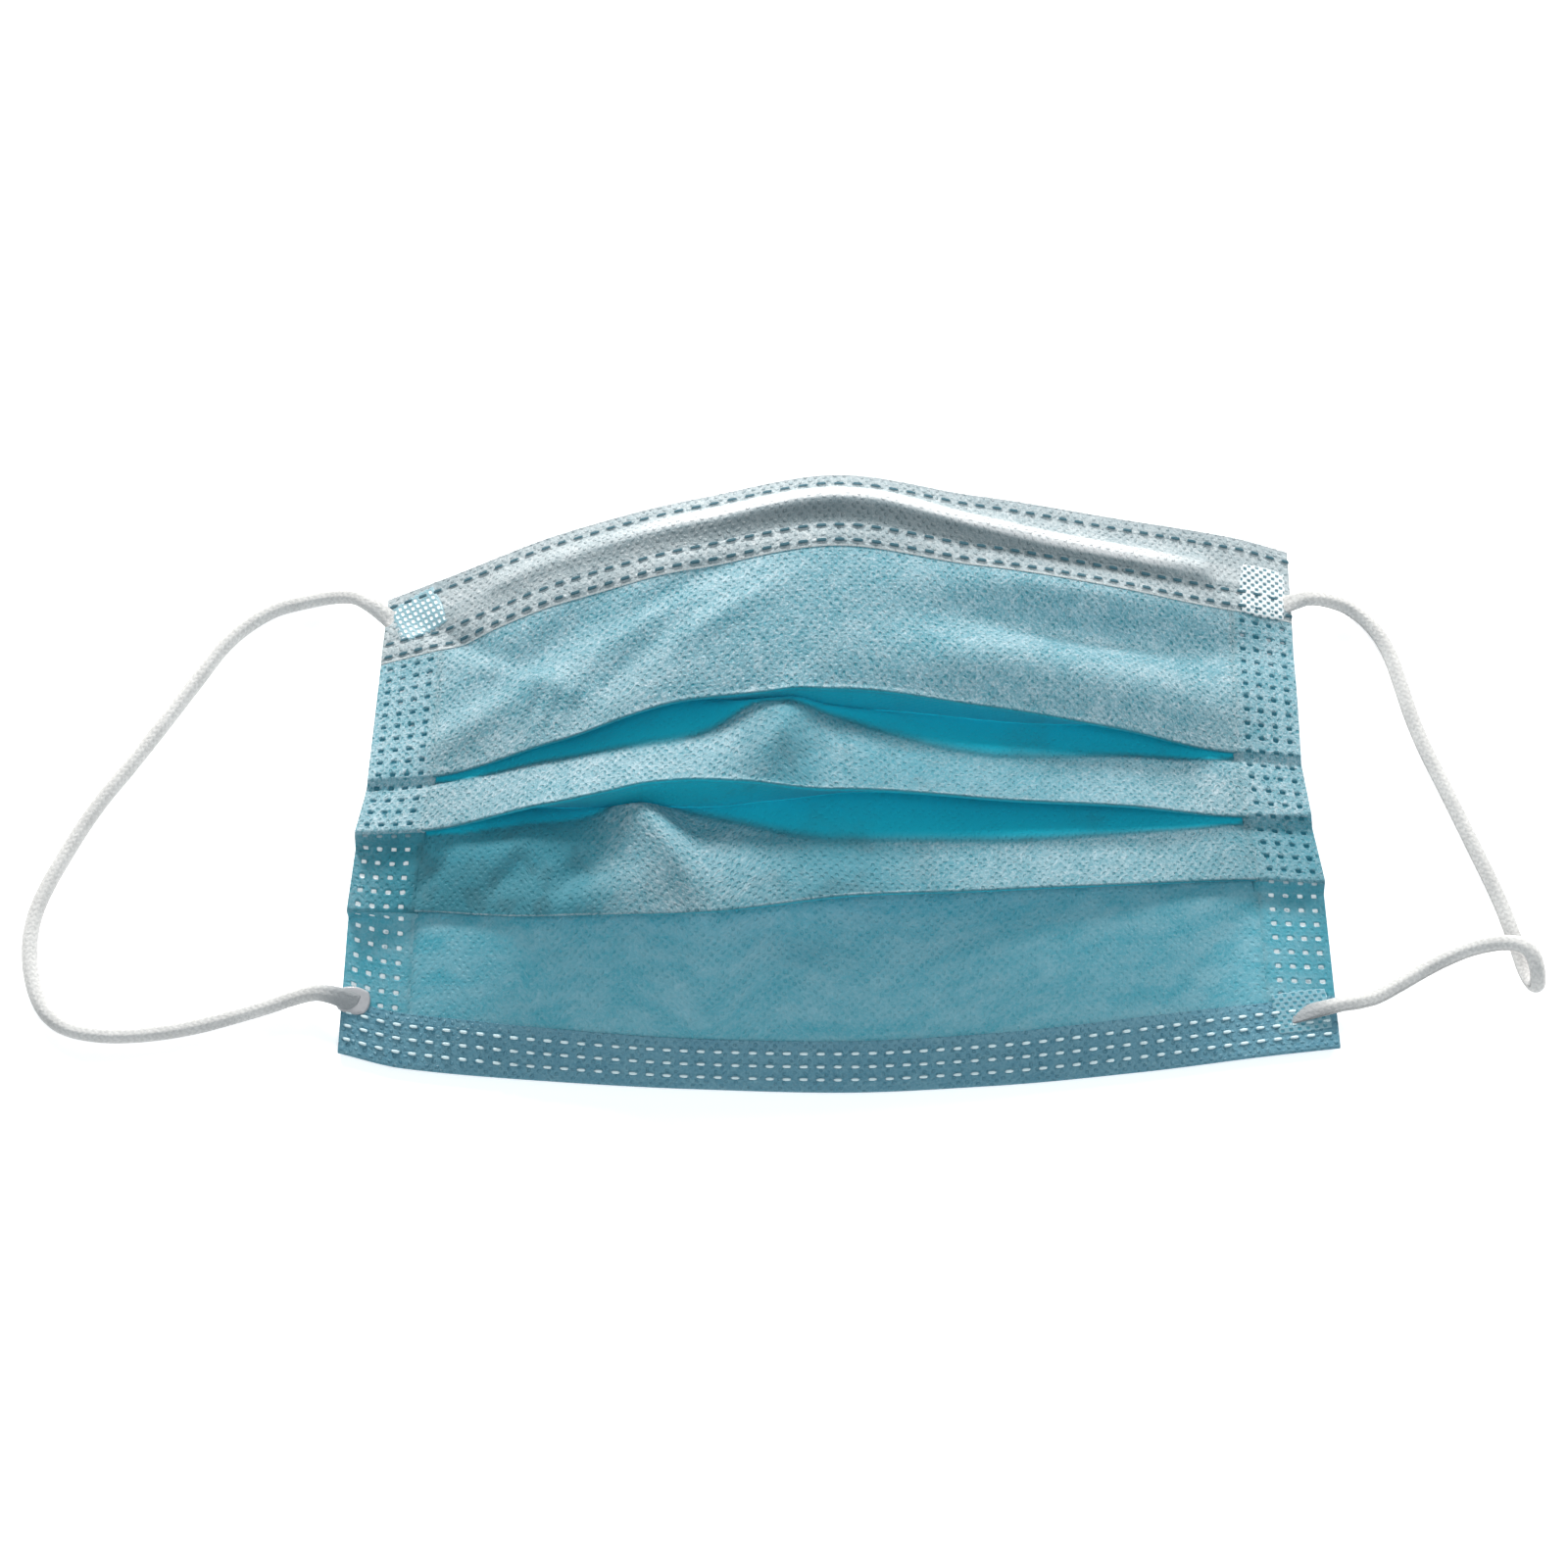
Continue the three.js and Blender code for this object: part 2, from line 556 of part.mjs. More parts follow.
function named(name, geometry, color, roughness, metalness = 0) {
  const mesh = new THREE.Mesh(geometry, new THREE.MeshStandardMaterial({ color, roughness, metalness }));
  mesh.name = name;
  return mesh;
}

const wasm = await Module();
wasm.setup();

const body = new THREE.Group();
body.add(named('pleated_panel', pleatedPanel(wasm), OUTER_BLUE, 0.85));
body.add(named('top_binding', topBinding(), BINDING_WHITE, 0.8));
body.add(named('nose_wire', noseWire(), WIRE_GREY, 0.45, 0.8));

const loops = new THREE.Group();
loops.add(named('ear_loop_left', earLoop('left'), ELASTIC_WHITE, 0.75));
loops.add(named('ear_loop_right', earLoop('right'), ELASTIC_WHITE, 0.75));
TABS.forEach((tab) => loops.add(named(tab.name, weldTab(tab), ELASTIC_WHITE, 0.5)));

const mask = new THREE.Group();
mask.add(body, loops);

export default mask;
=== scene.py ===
# %% [markdown]
# A disposable face mask lies on its back on a pale table, blue side up, with its three pleats pulled a
# little open and an elastic loop at each side. The plain solids of the mask are loaded first, and stay
# where they are. The rest of this lesson builds the thin cloth, the welded edges and the elastic that are
# seen, in millimetres turned to metres as each mesh is made.

# %% Load the solids
import math

import bpy
import numpy as np
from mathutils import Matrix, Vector


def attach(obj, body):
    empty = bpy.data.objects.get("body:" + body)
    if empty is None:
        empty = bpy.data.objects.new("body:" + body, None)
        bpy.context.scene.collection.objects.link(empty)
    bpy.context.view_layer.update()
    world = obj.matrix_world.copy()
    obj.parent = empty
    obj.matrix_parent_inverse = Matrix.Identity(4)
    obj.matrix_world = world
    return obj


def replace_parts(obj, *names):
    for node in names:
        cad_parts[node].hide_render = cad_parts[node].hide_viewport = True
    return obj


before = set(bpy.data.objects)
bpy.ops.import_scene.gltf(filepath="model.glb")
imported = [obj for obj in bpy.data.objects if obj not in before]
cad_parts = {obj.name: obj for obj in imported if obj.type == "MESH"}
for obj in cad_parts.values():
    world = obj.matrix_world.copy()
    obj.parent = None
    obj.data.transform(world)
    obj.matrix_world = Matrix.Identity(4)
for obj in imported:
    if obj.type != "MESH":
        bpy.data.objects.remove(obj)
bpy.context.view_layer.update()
MM = 0.001
print("nodes:", sorted(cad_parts))

# %% [markdown]
# The picture looks down at the mask from the hem's side. Elevation, distance and lens were solved from the
# four corners of the mask, so that the outline falls where it does in the photograph. A long lens from
# 70 cm away gives the weak perspective.

# %% Camera
CAMERA_ELEVATION = math.radians(66)
CAMERA_DISTANCE = 700 * MM
CAMERA_AIM = Vector((-9.5, 5.6, 0)) * MM
CAMERA_LENS = 90


def make_camera():
    lens = bpy.data.cameras.new("camera")
    lens.lens = CAMERA_LENS
    lens.sensor_width = 36
    camera = bpy.data.objects.new("camera", lens)
    away = Vector((0, -math.cos(CAMERA_ELEVATION), math.sin(CAMERA_ELEVATION)))
    camera.location = CAMERA_AIM + away * CAMERA_DISTANCE
    camera.rotation_euler = (math.pi / 2 - CAMERA_ELEVATION, 0, 0)
    bpy.context.collection.objects.link(camera)
    bpy.context.scene.camera = camera
    return camera


print("camera at", [round(c, 4) for c in make_camera().location])

# %% [markdown]
# Every mesh here starts as NumPy arrays of points. Two helpers turn them into Blender meshes: one takes
# any points and faces, the other closes a thin sheet from its front and its back. Numbers that a pattern
# needs later, such as the distance along the cloth, are stored on the points as named attributes.

# %% Mesh helpers
def make_piece(name, points, faces, attributes=None, materials=(), face_slots=None):
    """A smooth-shaded object from points in mm"""
    mesh = bpy.data.meshes.new(name)
    faces = faces.tolist() if isinstance(faces, np.ndarray) else faces
    mesh.from_pydata((np.asarray(points) * MM).tolist(), [], faces)
    for key, values in (attributes or {}).items():
        values = np.asarray(values, dtype=np.float32)
        kind = "FLOAT" if values.ndim == 1 else "FLOAT_VECTOR"
        layer = mesh.attributes.new(key, kind, "POINT")
        layer.data.foreach_set("value" if values.ndim == 1 else "vector", values.ravel())
    for material in materials:
        mesh.materials.append(material)
    if face_slots is not None:
        mesh.polygons.foreach_set("material_index", np.asarray(face_slots, dtype=np.int32))
    mesh.polygons.foreach_set("use_smooth", np.ones(len(mesh.polygons), dtype=bool))
    mesh.update()
    piece = bpy.data.objects.new(name, mesh)
    bpy.context.collection.objects.link(piece)
    return piece


def sheet_faces(rows, columns):
    """Faces of a closed thin sheet: front and back grids of rows x columns points, and the rims"""
    front = np.arange(rows * columns).reshape(rows, columns)
    back = front + rows * columns
    top = np.stack([front[:-1, :-1], front[1:, :-1], front[1:, 1:], front[:-1, 1:]], -1)
    under = np.stack([back[:-1, :-1], back[:-1, 1:], back[1:, 1:], back[1:, :-1]], -1)
    rims = [
        np.stack([front[0, :-1], front[0, 1:], back[0, 1:], back[0, :-1]], -1),
        np.stack([front[-1, 1:], front[-1, :-1], back[-1, :-1], back[-1, 1:]], -1),
        np.stack([front[1:, 0], front[:-1, 0], back[:-1, 0], back[1:, 0]], -1),
        np.stack([front[:-1, -1], front[1:, -1], back[1:, -1], back[:-1, -1]], -1),
    ]
    faces = [top.reshape(-1, 4), under.reshape(-1, 4), *rims]
    slots = np.repeat([0, 1, 0, 0, 0, 0], [len(f) for f in faces])
    return np.concatenate(faces), slots


def make_sheet(name, front, back, attributes=None, materials=()):
    """A thin closed sheet from two grids of points; attributes are given for both grids, or for one"""
    rows, columns = front.shape[:2]
    faces, slots = sheet_faces(rows, columns)
    points = np.concatenate([front.reshape(-1, 3), back.reshape(-1, 3)])
    both = {"lining": np.repeat([0.0, 1.0], rows * columns)}
    for key, values in (attributes or {}).items():
        width = values.shape[2:]
        flat = values.reshape(-1, *width)
        both[key] = flat if len(flat) == len(points) else np.concatenate([flat, flat])
    return make_piece(name, points, faces, both, materials, slots)


# %% [markdown]
# The ear loops are knitted elastic, 2.7 mm thick. Each is one soft cord that leaves a welded corner, drops
# to the table and comes back to the other corner. Away from the welds its route has the points that its
# plain tube follows. That tube stops at the edge of the mask. Here the cord runs on: it dives under the
# upper weld, and lies on the lower one until its end sinks in. A smooth curve goes through the points, and
# a section of many sides is carried along it without twisting. Towards its ends the cord gets flat and
# broad, and at the lower weld it is half melted, which the third number of the attribute `knit` says.

# %% Routes of the ear loops
LOOP_DIAMETER = 2.7
LOOP_ROUTES = {
    "left": [
        (-79.0, 35.5, 3.5), (-80.6, 36.7, 3.0), (-82.2, 37.9, 3.4), (-84.6, 39.5, 3.9),
        (-87.4, 41.2, 3.3), (-91.4, 41.9, 2.0),
        (-96.1, 41.3, 1.5), (-101.8, 39.6, 1.5), (-106.7, 36.4, 1.5), (-110.9, 32.1, 1.5),
        (-114.9, 25.9, 1.5), (-118.9, 19.6, 1.5), (-122.9, 13.4, 1.5), (-126.8, 7.5, 1.5),
        (-130.4, 2.3, 1.5), (-133.7, -3.3, 1.5), (-136.8, -9.5, 1.5), (-139.4, -15.3, 1.5),
        (-141.0, -20.5, 1.5), (-141.5, -25.7, 1.5), (-140.9, -30.9, 1.5), (-139.5, -35.4, 1.5),
        (-137.4, -38.9, 1.5), (-134.4, -41.2, 1.5), (-130.2, -42.4, 1.5), (-124.7, -42.8, 1.5),
        (-118.1, -42.3, 1.5), (-111.5, -41.1, 1.5), (-105.5, -39.4, 1.5), (-99.5, -37.5, 1.5),
        (-94.7, -36.1, 2.2), (-90.8, -35.6, 3.4), (-87.8, -36.2, 4.0), (-85.4, -36.9, 3.6),
        (-83.4, -37.5, 3.1),
    ],
    "right": [
        (80.0, 39.7, 2.9), (81.6, 39.9, 3.2), (83.4, 40.2, 3.9), (85.6, 40.6, 4.3),
        (89.0, 40.7, 3.2), (92.8, 39.9, 1.9),
        (96.0, 37.5, 1.5), (98.5, 34.0, 1.5), (100.2, 29.9, 1.5), (101.6, 24.5, 1.5),
        (103.1, 18.3, 1.5), (105.2, 11.7, 1.5), (107.8, 5.1, 1.5), (110.5, -1.9, 1.5),
        (113.0, -8.5, 1.5), (115.2, -14.3, 1.5), (117.0, -19.7, 1.5), (118.5, -25.3, 1.5),
        (119.7, -30.3, 1.5), (120.6, -33.5, 2.9), (120.9, -34.8, 5.7), (120.5, -33.5, 8.6),
        (119.5, -30.7, 9.9), (117.5, -28.9, 9.5), (114.2, -28.0, 7.6), (109.8, -28.1, 5.0),
        (105.4, -29.3, 2.8), (101.1, -31.3, 1.7), (97.3, -33.5, 1.5), (93.6, -35.6, 1.7),
        (90.2, -36.9, 2.6), (87.4, -37.4, 2.8), (84.2, -38.0, 2.3), (81.2, -38.6, 1.9),
        (78.4, -39.1, 1.4),
    ],
}
LOOP_LENGTHS = {"left": 174, "right": 150}


def smooth_route(points, steps):
    """A smooth curve through the points, with the given number of steps between two of them"""
    p = np.array(points, dtype=float)
    p = np.vstack([2 * p[0] - p[1], p, 2 * p[-1] - p[-2]])
    t = np.linspace(0, 1, steps, endpoint=False)[:, None]
    spans = [
        0.5 * (2 * b + (c - a) * t + (2 * a - 5 * b + 4 * c - d) * t**2 + (3 * b - a - 3 * c + d) * t**3)
        for a, b, c, d in zip(p[:-3], p[1:-2], p[2:-1], p[3:])
    ]
    return np.vstack([*spans, p[-2][None]])


def lengths_along(path):
    steps = np.linalg.norm(np.diff(path, axis=0), axis=-1)
    return np.concatenate([np.zeros((1, *steps.shape[1:])), np.cumsum(steps, axis=0)])


def unit(v):
    return v / np.maximum(np.linalg.norm(v, axis=-1, keepdims=True), 1e-12)


for side, route in LOOP_ROUTES.items():
    print(side, "loop is", round(lengths_along(smooth_route(route, 8))[-1]), "mm long")

# %% Cord section carried along a route
CORD_SIDES = 20
CORD_STEPS = 8
END_FLATTENING = 0.72
END_WIDENING = 0.3
END_REACH = 6.0
MELTED_REACH = 7.0


def make_cord(name, route):
    """A knitted cord: rings of points round the route, flat and broad towards both ends"""
    path = smooth_route(route, CORD_STEPS)
    along = lengths_along(path)
    travel = unit(np.gradient(path, axis=0))
    side = unit(np.cross(travel[0], (0, 0, 1)))
    rings = []
    around = np.linspace(0, 2 * math.pi, CORD_SIDES, endpoint=False)
    for at, way, walked in zip(path, travel, along):
        side = unit(side - way * np.dot(side, way))
        up = np.cross(side, way)
        near_end = math.exp(-((min(walked, along[-1] - walked) / END_REACH) ** 2))
        wide = LOOP_DIAMETER / 2 * (1 + END_WIDENING * near_end)
        thick = LOOP_DIAMETER / 2 * (1 - END_FLATTENING * near_end)
        ring = np.outer(np.cos(around) * wide, side) + np.outer(np.sin(around) * thick, up)
        rings.append(at + ring)
    points = np.array(rings)
    count = len(path)
    index = np.arange(count * CORD_SIDES).reshape(count, CORD_SIDES)
    turned = np.roll(index, -1, axis=1)
    faces = np.stack([index[:-1], turned[:-1], turned[1:], index[1:]], -1).reshape(-1, 4).tolist()
    faces += [index[0][::-1].tolist(), index[-1].tolist()]
    melted = np.exp(-(((along[-1] - along) / MELTED_REACH) ** 4))
    turns = around / (2 * math.pi)
    knit = np.stack(np.broadcast_arrays(turns, along[:, None] * MM, melted[:, None]), -1)
    piece = make_piece(name, points.reshape(-1, 3), faces, {"knit": knit.reshape(-1, 3)})
    return piece, path


loops = {}
for side, route in LOOP_ROUTES.items():
    loops[side], path = make_cord(f"elastic_loop_{side}", route)
    loops[side]
    tuple(path[0] * MM)
    LOOP_LENGTHS[side] * MM
    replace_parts(loops[side], f"ear_loop_{side}")
    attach(loops[side], "root")
    loops[side]
    print(loops[side].name, len(loops[side].data.polygons), "faces")

# %% [markdown]
# The cloth is one sheet, folded into three pleats and welded shut along both sides. Its shape comes from
# the lines that can be measured on the mask: the nose edge, the three fold edges and the hem. Each entry of
# the table gives a line's half widths and its y and z at nine stations across. The solids are made from the
# same lines. Only the hem and the ends of the nose edge lie lower here, because the cloth is thinner than
# the solid wall. A curve that never overshoots joins the stations.

# %% Fold lines
STATIONS = [-1, -0.87, -0.6, -0.3, 0, 0.3, 0.6, 0.87, 1]
LINES = {
    "nose_edge": {
        "left": 81.5, "right": 82.5,
        "y": [41.7, 43.0, 46.9, 49.6, 52.9, 51.4, 51.8, 52.3, 51.5],
        "z": [0.9, 7.0, 17.3, 25.4, 28.0, 23.0, 14.0, 5.6, 1.0],
    },
    "fold_one": {
        "left": 82.6, "right": 82.3,
        "y": [1.3, 2.1, 4.6, 9.6, 11.2, 10.1, 9.7, 9.3, 8.5],
        "z": [10.8, 10.8, 20.3, 27.2, 27.8, 23.0, 14.2, 5.2, 5.2],
    },
    "fold_two": {
        "left": 84.3, "right": 83.5,
        "y": [-9.1, -8.6, -7.7, -5.3, -7.3, -7.3, -5.3, -3.2, -3.1],
        "z": [11.8, 11.8, 21.4, 26.5, 26.9, 23.0, 15.1, 5.6, 5.6],
    },
    "fold_three": {
        "left": 85.5, "right": 85.3,
        "y": [-22.0, -22.1, -26.6, -28.2, -25.5, -23.8, -19.8, -14.9, -15.4],
        "z": [7.8, 7.8, 16.9, 22.1, 23.0, 21.5, 14.7, 4.8, 4.8],
    },
    "hem_edge": {
        "left": 86.7, "right": 86.8,
        "y": [-45.7, -48.5, -50.7, -52.2, -52.9, -51.7, -49.2, -46.1, -44.8],
        "z": [0.9, 0.9, 0.9, 0.9, 0.9, 0.9, 0.9, 0.9, 0.9],
    },
}
FOLDS = ["fold_one", "fold_two", "fold_three"]


def across(values, s):
    """Value of a table row at stations s"""
    x, v = np.array(STATIONS), np.array(values, dtype=float)
    step = np.diff(v) / np.diff(x)
    both = step[:-1] * step[1:]
    total = np.where(both > 0, step[:-1] + step[1:], 1)
    slope = np.concatenate([step[:1], np.where(both > 0, 2 * both / total, 0), step[-1:]])
    i = np.clip(np.searchsorted(x, s, side="right") - 1, 0, len(x) - 2)
    width = x[i + 1] - x[i]
    t = (s - x[i]) / width
    rise = (v[i + 1] - v[i]) * t * t * (3 - 2 * t)
    return v[i] + rise + width * t * (1 - t) * (slope[i] * (1 - t) - slope[i + 1] * t)


def line(name, s):
    return np.stack([across(LINES[name]["y"], s), across(LINES[name]["z"], s)], -1)


def half_width(s, y):
    """Half width of the mask at heights y of stations s, straight between the lines"""
    names = list(LINES)[::-1]
    heights = [across(LINES[name]["y"], s) for name in names]
    halves = [np.where(s < 0, LINES[name]["left"], LINES[name]["right"]) for name in names]
    half = halves[0]
    for low, high, near, far in zip(heights[:-1], heights[1:], halves[:-1], halves[1:]):
        half = half + (far - near) * np.clip((y - low) / (high - low), 0, 1)
    return half


print("nose edge in the middle, y and z:", line("nose_edge", np.array([0.0]))[0])

# %% [markdown]
# Worn cloth is never flat. The table of dents gives the soft hollows and ridges, each with a place, two
# half lengths, a direction and a height. They move every layer up or down alike, so no layer can cut
# through another. A row of small narrow ones side by side makes the ripples near the upper left corner.
# Close to the hem they fade out, because the mask lies flat there.

# %% Dents
DENTS = [
    dict(x=46, y=27.5, long=26, wide=4.0, turn=4, rise=-3.2),
    dict(x=44, y=35.0, long=24, wide=3.6, turn=4, rise=1.6),
    dict(x=48, y=18.0, long=24, wide=6.4, turn=2, rise=2.5),
    dict(x=-64, y=26.0, long=12, wide=2.5, turn=-36, rise=-1.6),
    dict(x=-57, y=20.0, long=12, wide=2.3, turn=-32, rise=1.3),
    dict(x=-54, y=13.5, long=5, wide=1.1, turn=68, rise=0.7),
    dict(x=-50, y=13.0, long=6, wide=1.1, turn=66, rise=0.8),
    dict(x=-46, y=13.5, long=6, wide=1.2, turn=64, rise=0.8),
    dict(x=-42, y=14.5, long=5, wide=1.2, turn=60, rise=0.4),
    dict(x=-30, y=30.0, long=14, wide=2.4, turn=24, rise=-1.0),
    dict(x=-22, y=24.0, long=13, wide=2.6, turn=30, rise=0.9),
    dict(x=-71, y=-16.0, long=4.5, wide=2.0, turn=60, rise=-1.3),
    dict(x=-57, y=-18.0, long=5, wide=2.0, turn=38, rise=-1.1),
    dict(x=-50, y=-19.0, long=5, wide=1.6, turn=44, rise=0.6),
    dict(x=-45, y=-20.0, long=5, wide=1.8, turn=48, rise=-1.0),
    dict(x=-52, y=22.7, long=14, wide=4.2, turn=32, rise=-2.3),
    dict(x=-36, y=17.7, long=12, wide=3.5, turn=40, rise=-1.8),
    dict(x=-62, y=12.7, long=12, wide=3.4, turn=28, rise=1.7),
    dict(x=24, y=18.7, long=14, wide=5.0, turn=8, rise=1.2),
    dict(x=-10, y=3.7, long=9, wide=3.6, turn=65, rise=2.2),
    dict(x=-29, y=-16.3, long=9, wide=3.2, turn=-62, rise=2.2),
    dict(x=-46, y=-18.3, long=13, wide=4.5, turn=12, rise=-2.4),
    dict(x=-6, y=-30.3, long=6, wide=3.4, turn=0, rise=-1.2),
    dict(x=30, y=-34.3, long=16, wide=6.0, turn=14, rise=1.0),
]
DENT_FADE = (-43, -35)


def smooth_step(x, low, high):
    t = np.clip((x - low) / (high - low), 0, 1)
    return t * t * (3 - 2 * t)


def relief(x, y):
    """Height of the dents at x and y"""
    height = np.zeros_like(x)
    for dent in DENTS:
        turn = math.radians(dent["turn"])
        dx, dy = x - dent["x"], y - dent["y"]
        u = (dx * math.cos(turn) + dy * math.sin(turn)) / dent["long"]
        v = (dy * math.cos(turn) - dx * math.sin(turn)) / dent["wide"]
        height += dent["rise"] * np.exp(-u * u - v * v)
    return height * smooth_step(y, *DENT_FADE)


def place(s, section):
    """Points in space of a section: rows x stations x (y, z)"""
    y, z = section[..., 0], section[..., 1]
    x = s * half_width(s, y)
    return np.stack([x, y, z + relief(x, y)], -1)


print("deepest dent:", min(d["rise"] for d in DENTS), "mm")

# %% [markdown]
# One section of the cloth runs from the nose edge over the first fold, back under it, round the hidden
# fold and forward again, three times over, and then down to the hem. The cloth is only as long as it was
# cut: where the fold edges are pulled apart, the hidden fold has to swing down and the pleat opens. That
# is a triangle with three known sides, so the angle comes from the law of cosines. Along the welded sides
# the pleats stay shut. Two panels stand up in a ridge, where the cloth above pulls on them.
#
# The shade in an open pleat is deep blue, because light reaches it only through the cloth. Light alone
# doesn't give that colour here, so it is painted. For the second and third panel, SHADES says at each
# station how many millimetres below the fold above it the painted shade ends. PANEL_SHADE says how much
# shade is painted on each panel outside it, where the cloth faces away from the lamps, and RIDGE_BACK
# paints shade on the far side of the second panel's ridge.

# %% Section of the pleated cloth
CLOTH = 0.34
FOLD_RADIUS = 0.3
PLEAT_DEPTH = 8.5
CLOSED_PLEAT = math.radians(8)
STRIP_START = 0.865
PLEAT_RELEASE = 0.14
PANEL_SWELL = [
    [0, 0.3, 1.2, 2.1, 2.4, 2.1, 1.2, 0.3, 0],
    [0, 0.1, 0.4, 0.7, 0.8, 0.7, 0.4, 0.1, 0],
    [0, 0.9, 3.6, 1.6, 0.8, 0.7, 0.4, 0.1, 0],
    [0, 0.3, 1.8, 3.0, 3.4, 3.0, 1.8, 0.3, 0],
]
INTO_PLEATS = math.radians(90) - CAMERA_ELEVATION
SHADES = {
    2: [0.1, 1.2, 3.6, 7.8, 8.2, 9.4, 5.2, 1.2, 0.1],
    3: [0.1, 1.0, 4.0, 7.0, 9.9, 8.2, 5.4, 1.2, 0.1],
}
# Shade painted on each panel, by station, where its cloth faces away from the lamps
PANEL_SHADE = {
    2: [0, 0, 0, 0.08, 0.3, 0.25, 0.15, 0, 0],
    3: [0.3, 0.5, 0.5, 0.1, 0.4, 0.15, 0.12, 0.2, 0.25],
    4: [0.12, 0.03, 0, 0, 0, 0, 0, 0.04, 0.3],
}
RIDGES = [
    dict(panel=2, s=-0.16, lean=0.0, left=0.09, right=0.17, strength=0.95),
    dict(panel=3, s=-0.43, lean=0.006, left=0.075, right=0.055, strength=0.85),
]
# Shade painted on the far side of the second panel's ridge
RIDGE_BACK = dict(panel=2, s=-0.09, wide=0.11, dull=0.34)
RIDGE_START = (-6, 1)
RIDGE_SHORT = 1.4
RIDGE_SHORT_REACH = 12
FOLD_SHADE = (-0.5, 2)
LAYERS_APART = 2.4
KEEP_FADE = 3
PANEL_ROWS = [62, 32, 34, 62]
ARC_ROWS = 7
UNDER_ROWS = 9


def front_of(travel):
    """The front of the cloth is on the left of its travel from the nose edge to the hem"""
    return np.stack([travel[..., 1], -travel[..., 0]], -1)


def angle_of(v):
    return np.arctan2(-v[..., 1], -v[..., 0])


def from_angle(angle):
    return np.stack([-np.cos(angle), -np.sin(angle)], -1)


def bulged(start, end, swell, t):
    """Points from start to end at shares t, swollen towards the front"""
    t = t[:, None, None]
    up = front_of(unit(end - start))
    return start + (end - start) * t + up * (swell[:, None] * 4 * t * (1 - t))


def below_tip(above, points):
    """How far below a fold's tip the points lie, for an eye that looks into the pleats"""
    return (above - points) @ np.array([math.cos(INTO_PLEATS), math.sin(INTO_PLEATS)])


def ridge_share(k, s, below):
    """How far the panel stands up in a ridge, from 0 to 1, at distances below the fold above it"""
    share = np.zeros(below.shape)
    for r in RIDGES:
        if r["panel"] == k:
            off = s - r["s"] - r["lean"] * np.maximum(below, 0)
            share = share + r["strength"] * np.exp(-((off / np.where(off < 0, r["left"], r["right"])) ** 2))
    return share


def ridged(k, s, above, start, end, panel):
    """A panel whose ridges reach up almost to the line between the fold above it and its own"""
    up = front_of(unit(end - above))
    depth = ((above - panel) * up).sum(-1)
    walked = ((panel - above) * unit(end - above)).sum(-1)
    short = RIDGE_SHORT * (1 - smooth_step(walked, 0, RIDGE_SHORT_REACH))
    lift = (depth - short) * ridge_share(k, s, walked)
    return panel + up * (np.maximum(lift, 0) * smooth_step(walked, *RIDGE_START))[..., None]


def fold_arc(tip, before, after, inside):
    """Half a turn round a fold's tip; before and after point away from it along its two layers"""
    out = unit(-before - after)
    side = -front_of(out) if inside else front_of(out)
    turn = np.linspace(0, math.pi, ARC_ROWS)[:, None, None]
    return tip - out * FOLD_RADIUS + FOLD_RADIUS * (np.cos(turn) * side + np.sin(turn) * out)


def hidden_fold(s, tip, behind, following, closed_length):
    """Where the pleat under a fold turns back"""
    closed = np.mod(angle_of(behind - tip), 2 * math.pi) - CLOSED_PLEAT
    chord = np.linalg.norm(following - tip, axis=-1)
    panel = PLEAT_DEPTH + closed_length
    cosine = (PLEAT_DEPTH**2 + chord**2 - panel**2) / (2 * PLEAT_DEPTH * chord)
    swung = angle_of(following - tip) + np.arccos(np.clip(cosine, -1, 1))
    release = smooth_step(STRIP_START - np.abs(s), 0, PLEAT_RELEASE)
    return tip + from_angle(closed + (np.minimum(swung, closed) - closed) * release) * PLEAT_DEPTH


def keep_under(points, tip, hidden):
    """Moves the start of a panel down, clear of the two layers of the pleat above it"""
    along = unit(tip - hidden)
    below = np.stack([-along[..., 1], along[..., 0]], -1)
    walked = ((points - hidden) * along).sum(-1)
    depth = ((points - tip) * below).sum(-1)
    share = np.clip(walked / PLEAT_DEPTH, 0, 1)
    least = FOLD_RADIUS * (1 + LAYERS_APART * share)
    past_tip = walked - PLEAT_DEPTH - FOLD_RADIUS
    hold = 1 - smooth_step(past_tip, 0, KEEP_FADE)
    push = np.maximum(least - depth, 0) * hold
    return points + below * push[..., None]


def cloth_section(s):
    """The cloth's middle line at stations s, as named parts of rows x stations x (y, z)"""
    lines = [line(name, s) for name in LINES]
    edge = np.array([-STRIP_START, STRIP_START])
    parts, start = {}, lines[0]
    for k, rows in enumerate(PANEL_ROWS):
        tip = lines[k + 1]
        swell = across(PANEL_SWELL[k], s)
        t = np.linspace(0, 1, rows)
        if k == 3:
            parts["panel_4"] = keep_under(bulged(start, tip, swell, t), lines[k], hidden)
            break
        closed = [np.linalg.norm(line(FOLDS[k], e) - line(list(LINES)[k + 2], e)) for e in edge]
        closed_length = closed[0] + (closed[1] - closed[0]) * (s + 1) / 2
        behind = bulged(start, tip, swell, np.array([0.9]))[0]
        next_hidden = hidden_fold(s, tip, behind, lines[k + 2], closed_length)
        arc = fold_arc(tip, unit(behind - tip), unit(next_hidden - tip), inside=False)
        panel = bulged(start, arc[0], swell, t)
        if k > 0:
            panel = ridged(k + 1, s, lines[k], start, arc[0], panel)
        parts[f"panel_{k + 1}"] = panel if k == 0 else keep_under(panel, lines[k], hidden)
        parts[f"fold_{k + 1}"] = arc
        turn = fold_arc(next_hidden, unit(tip - next_hidden), unit(lines[k + 2] - next_hidden), inside=True)
        share = np.linspace(0, 1, UNDER_ROWS)[:, None, None]
        parts[f"under_{k + 1}"] = arc[-1] + (turn[0] - arc[-1]) * share
        parts[f"turn_{k + 1}"] = turn
        start, hidden = turn[-1], next_hidden
    return parts


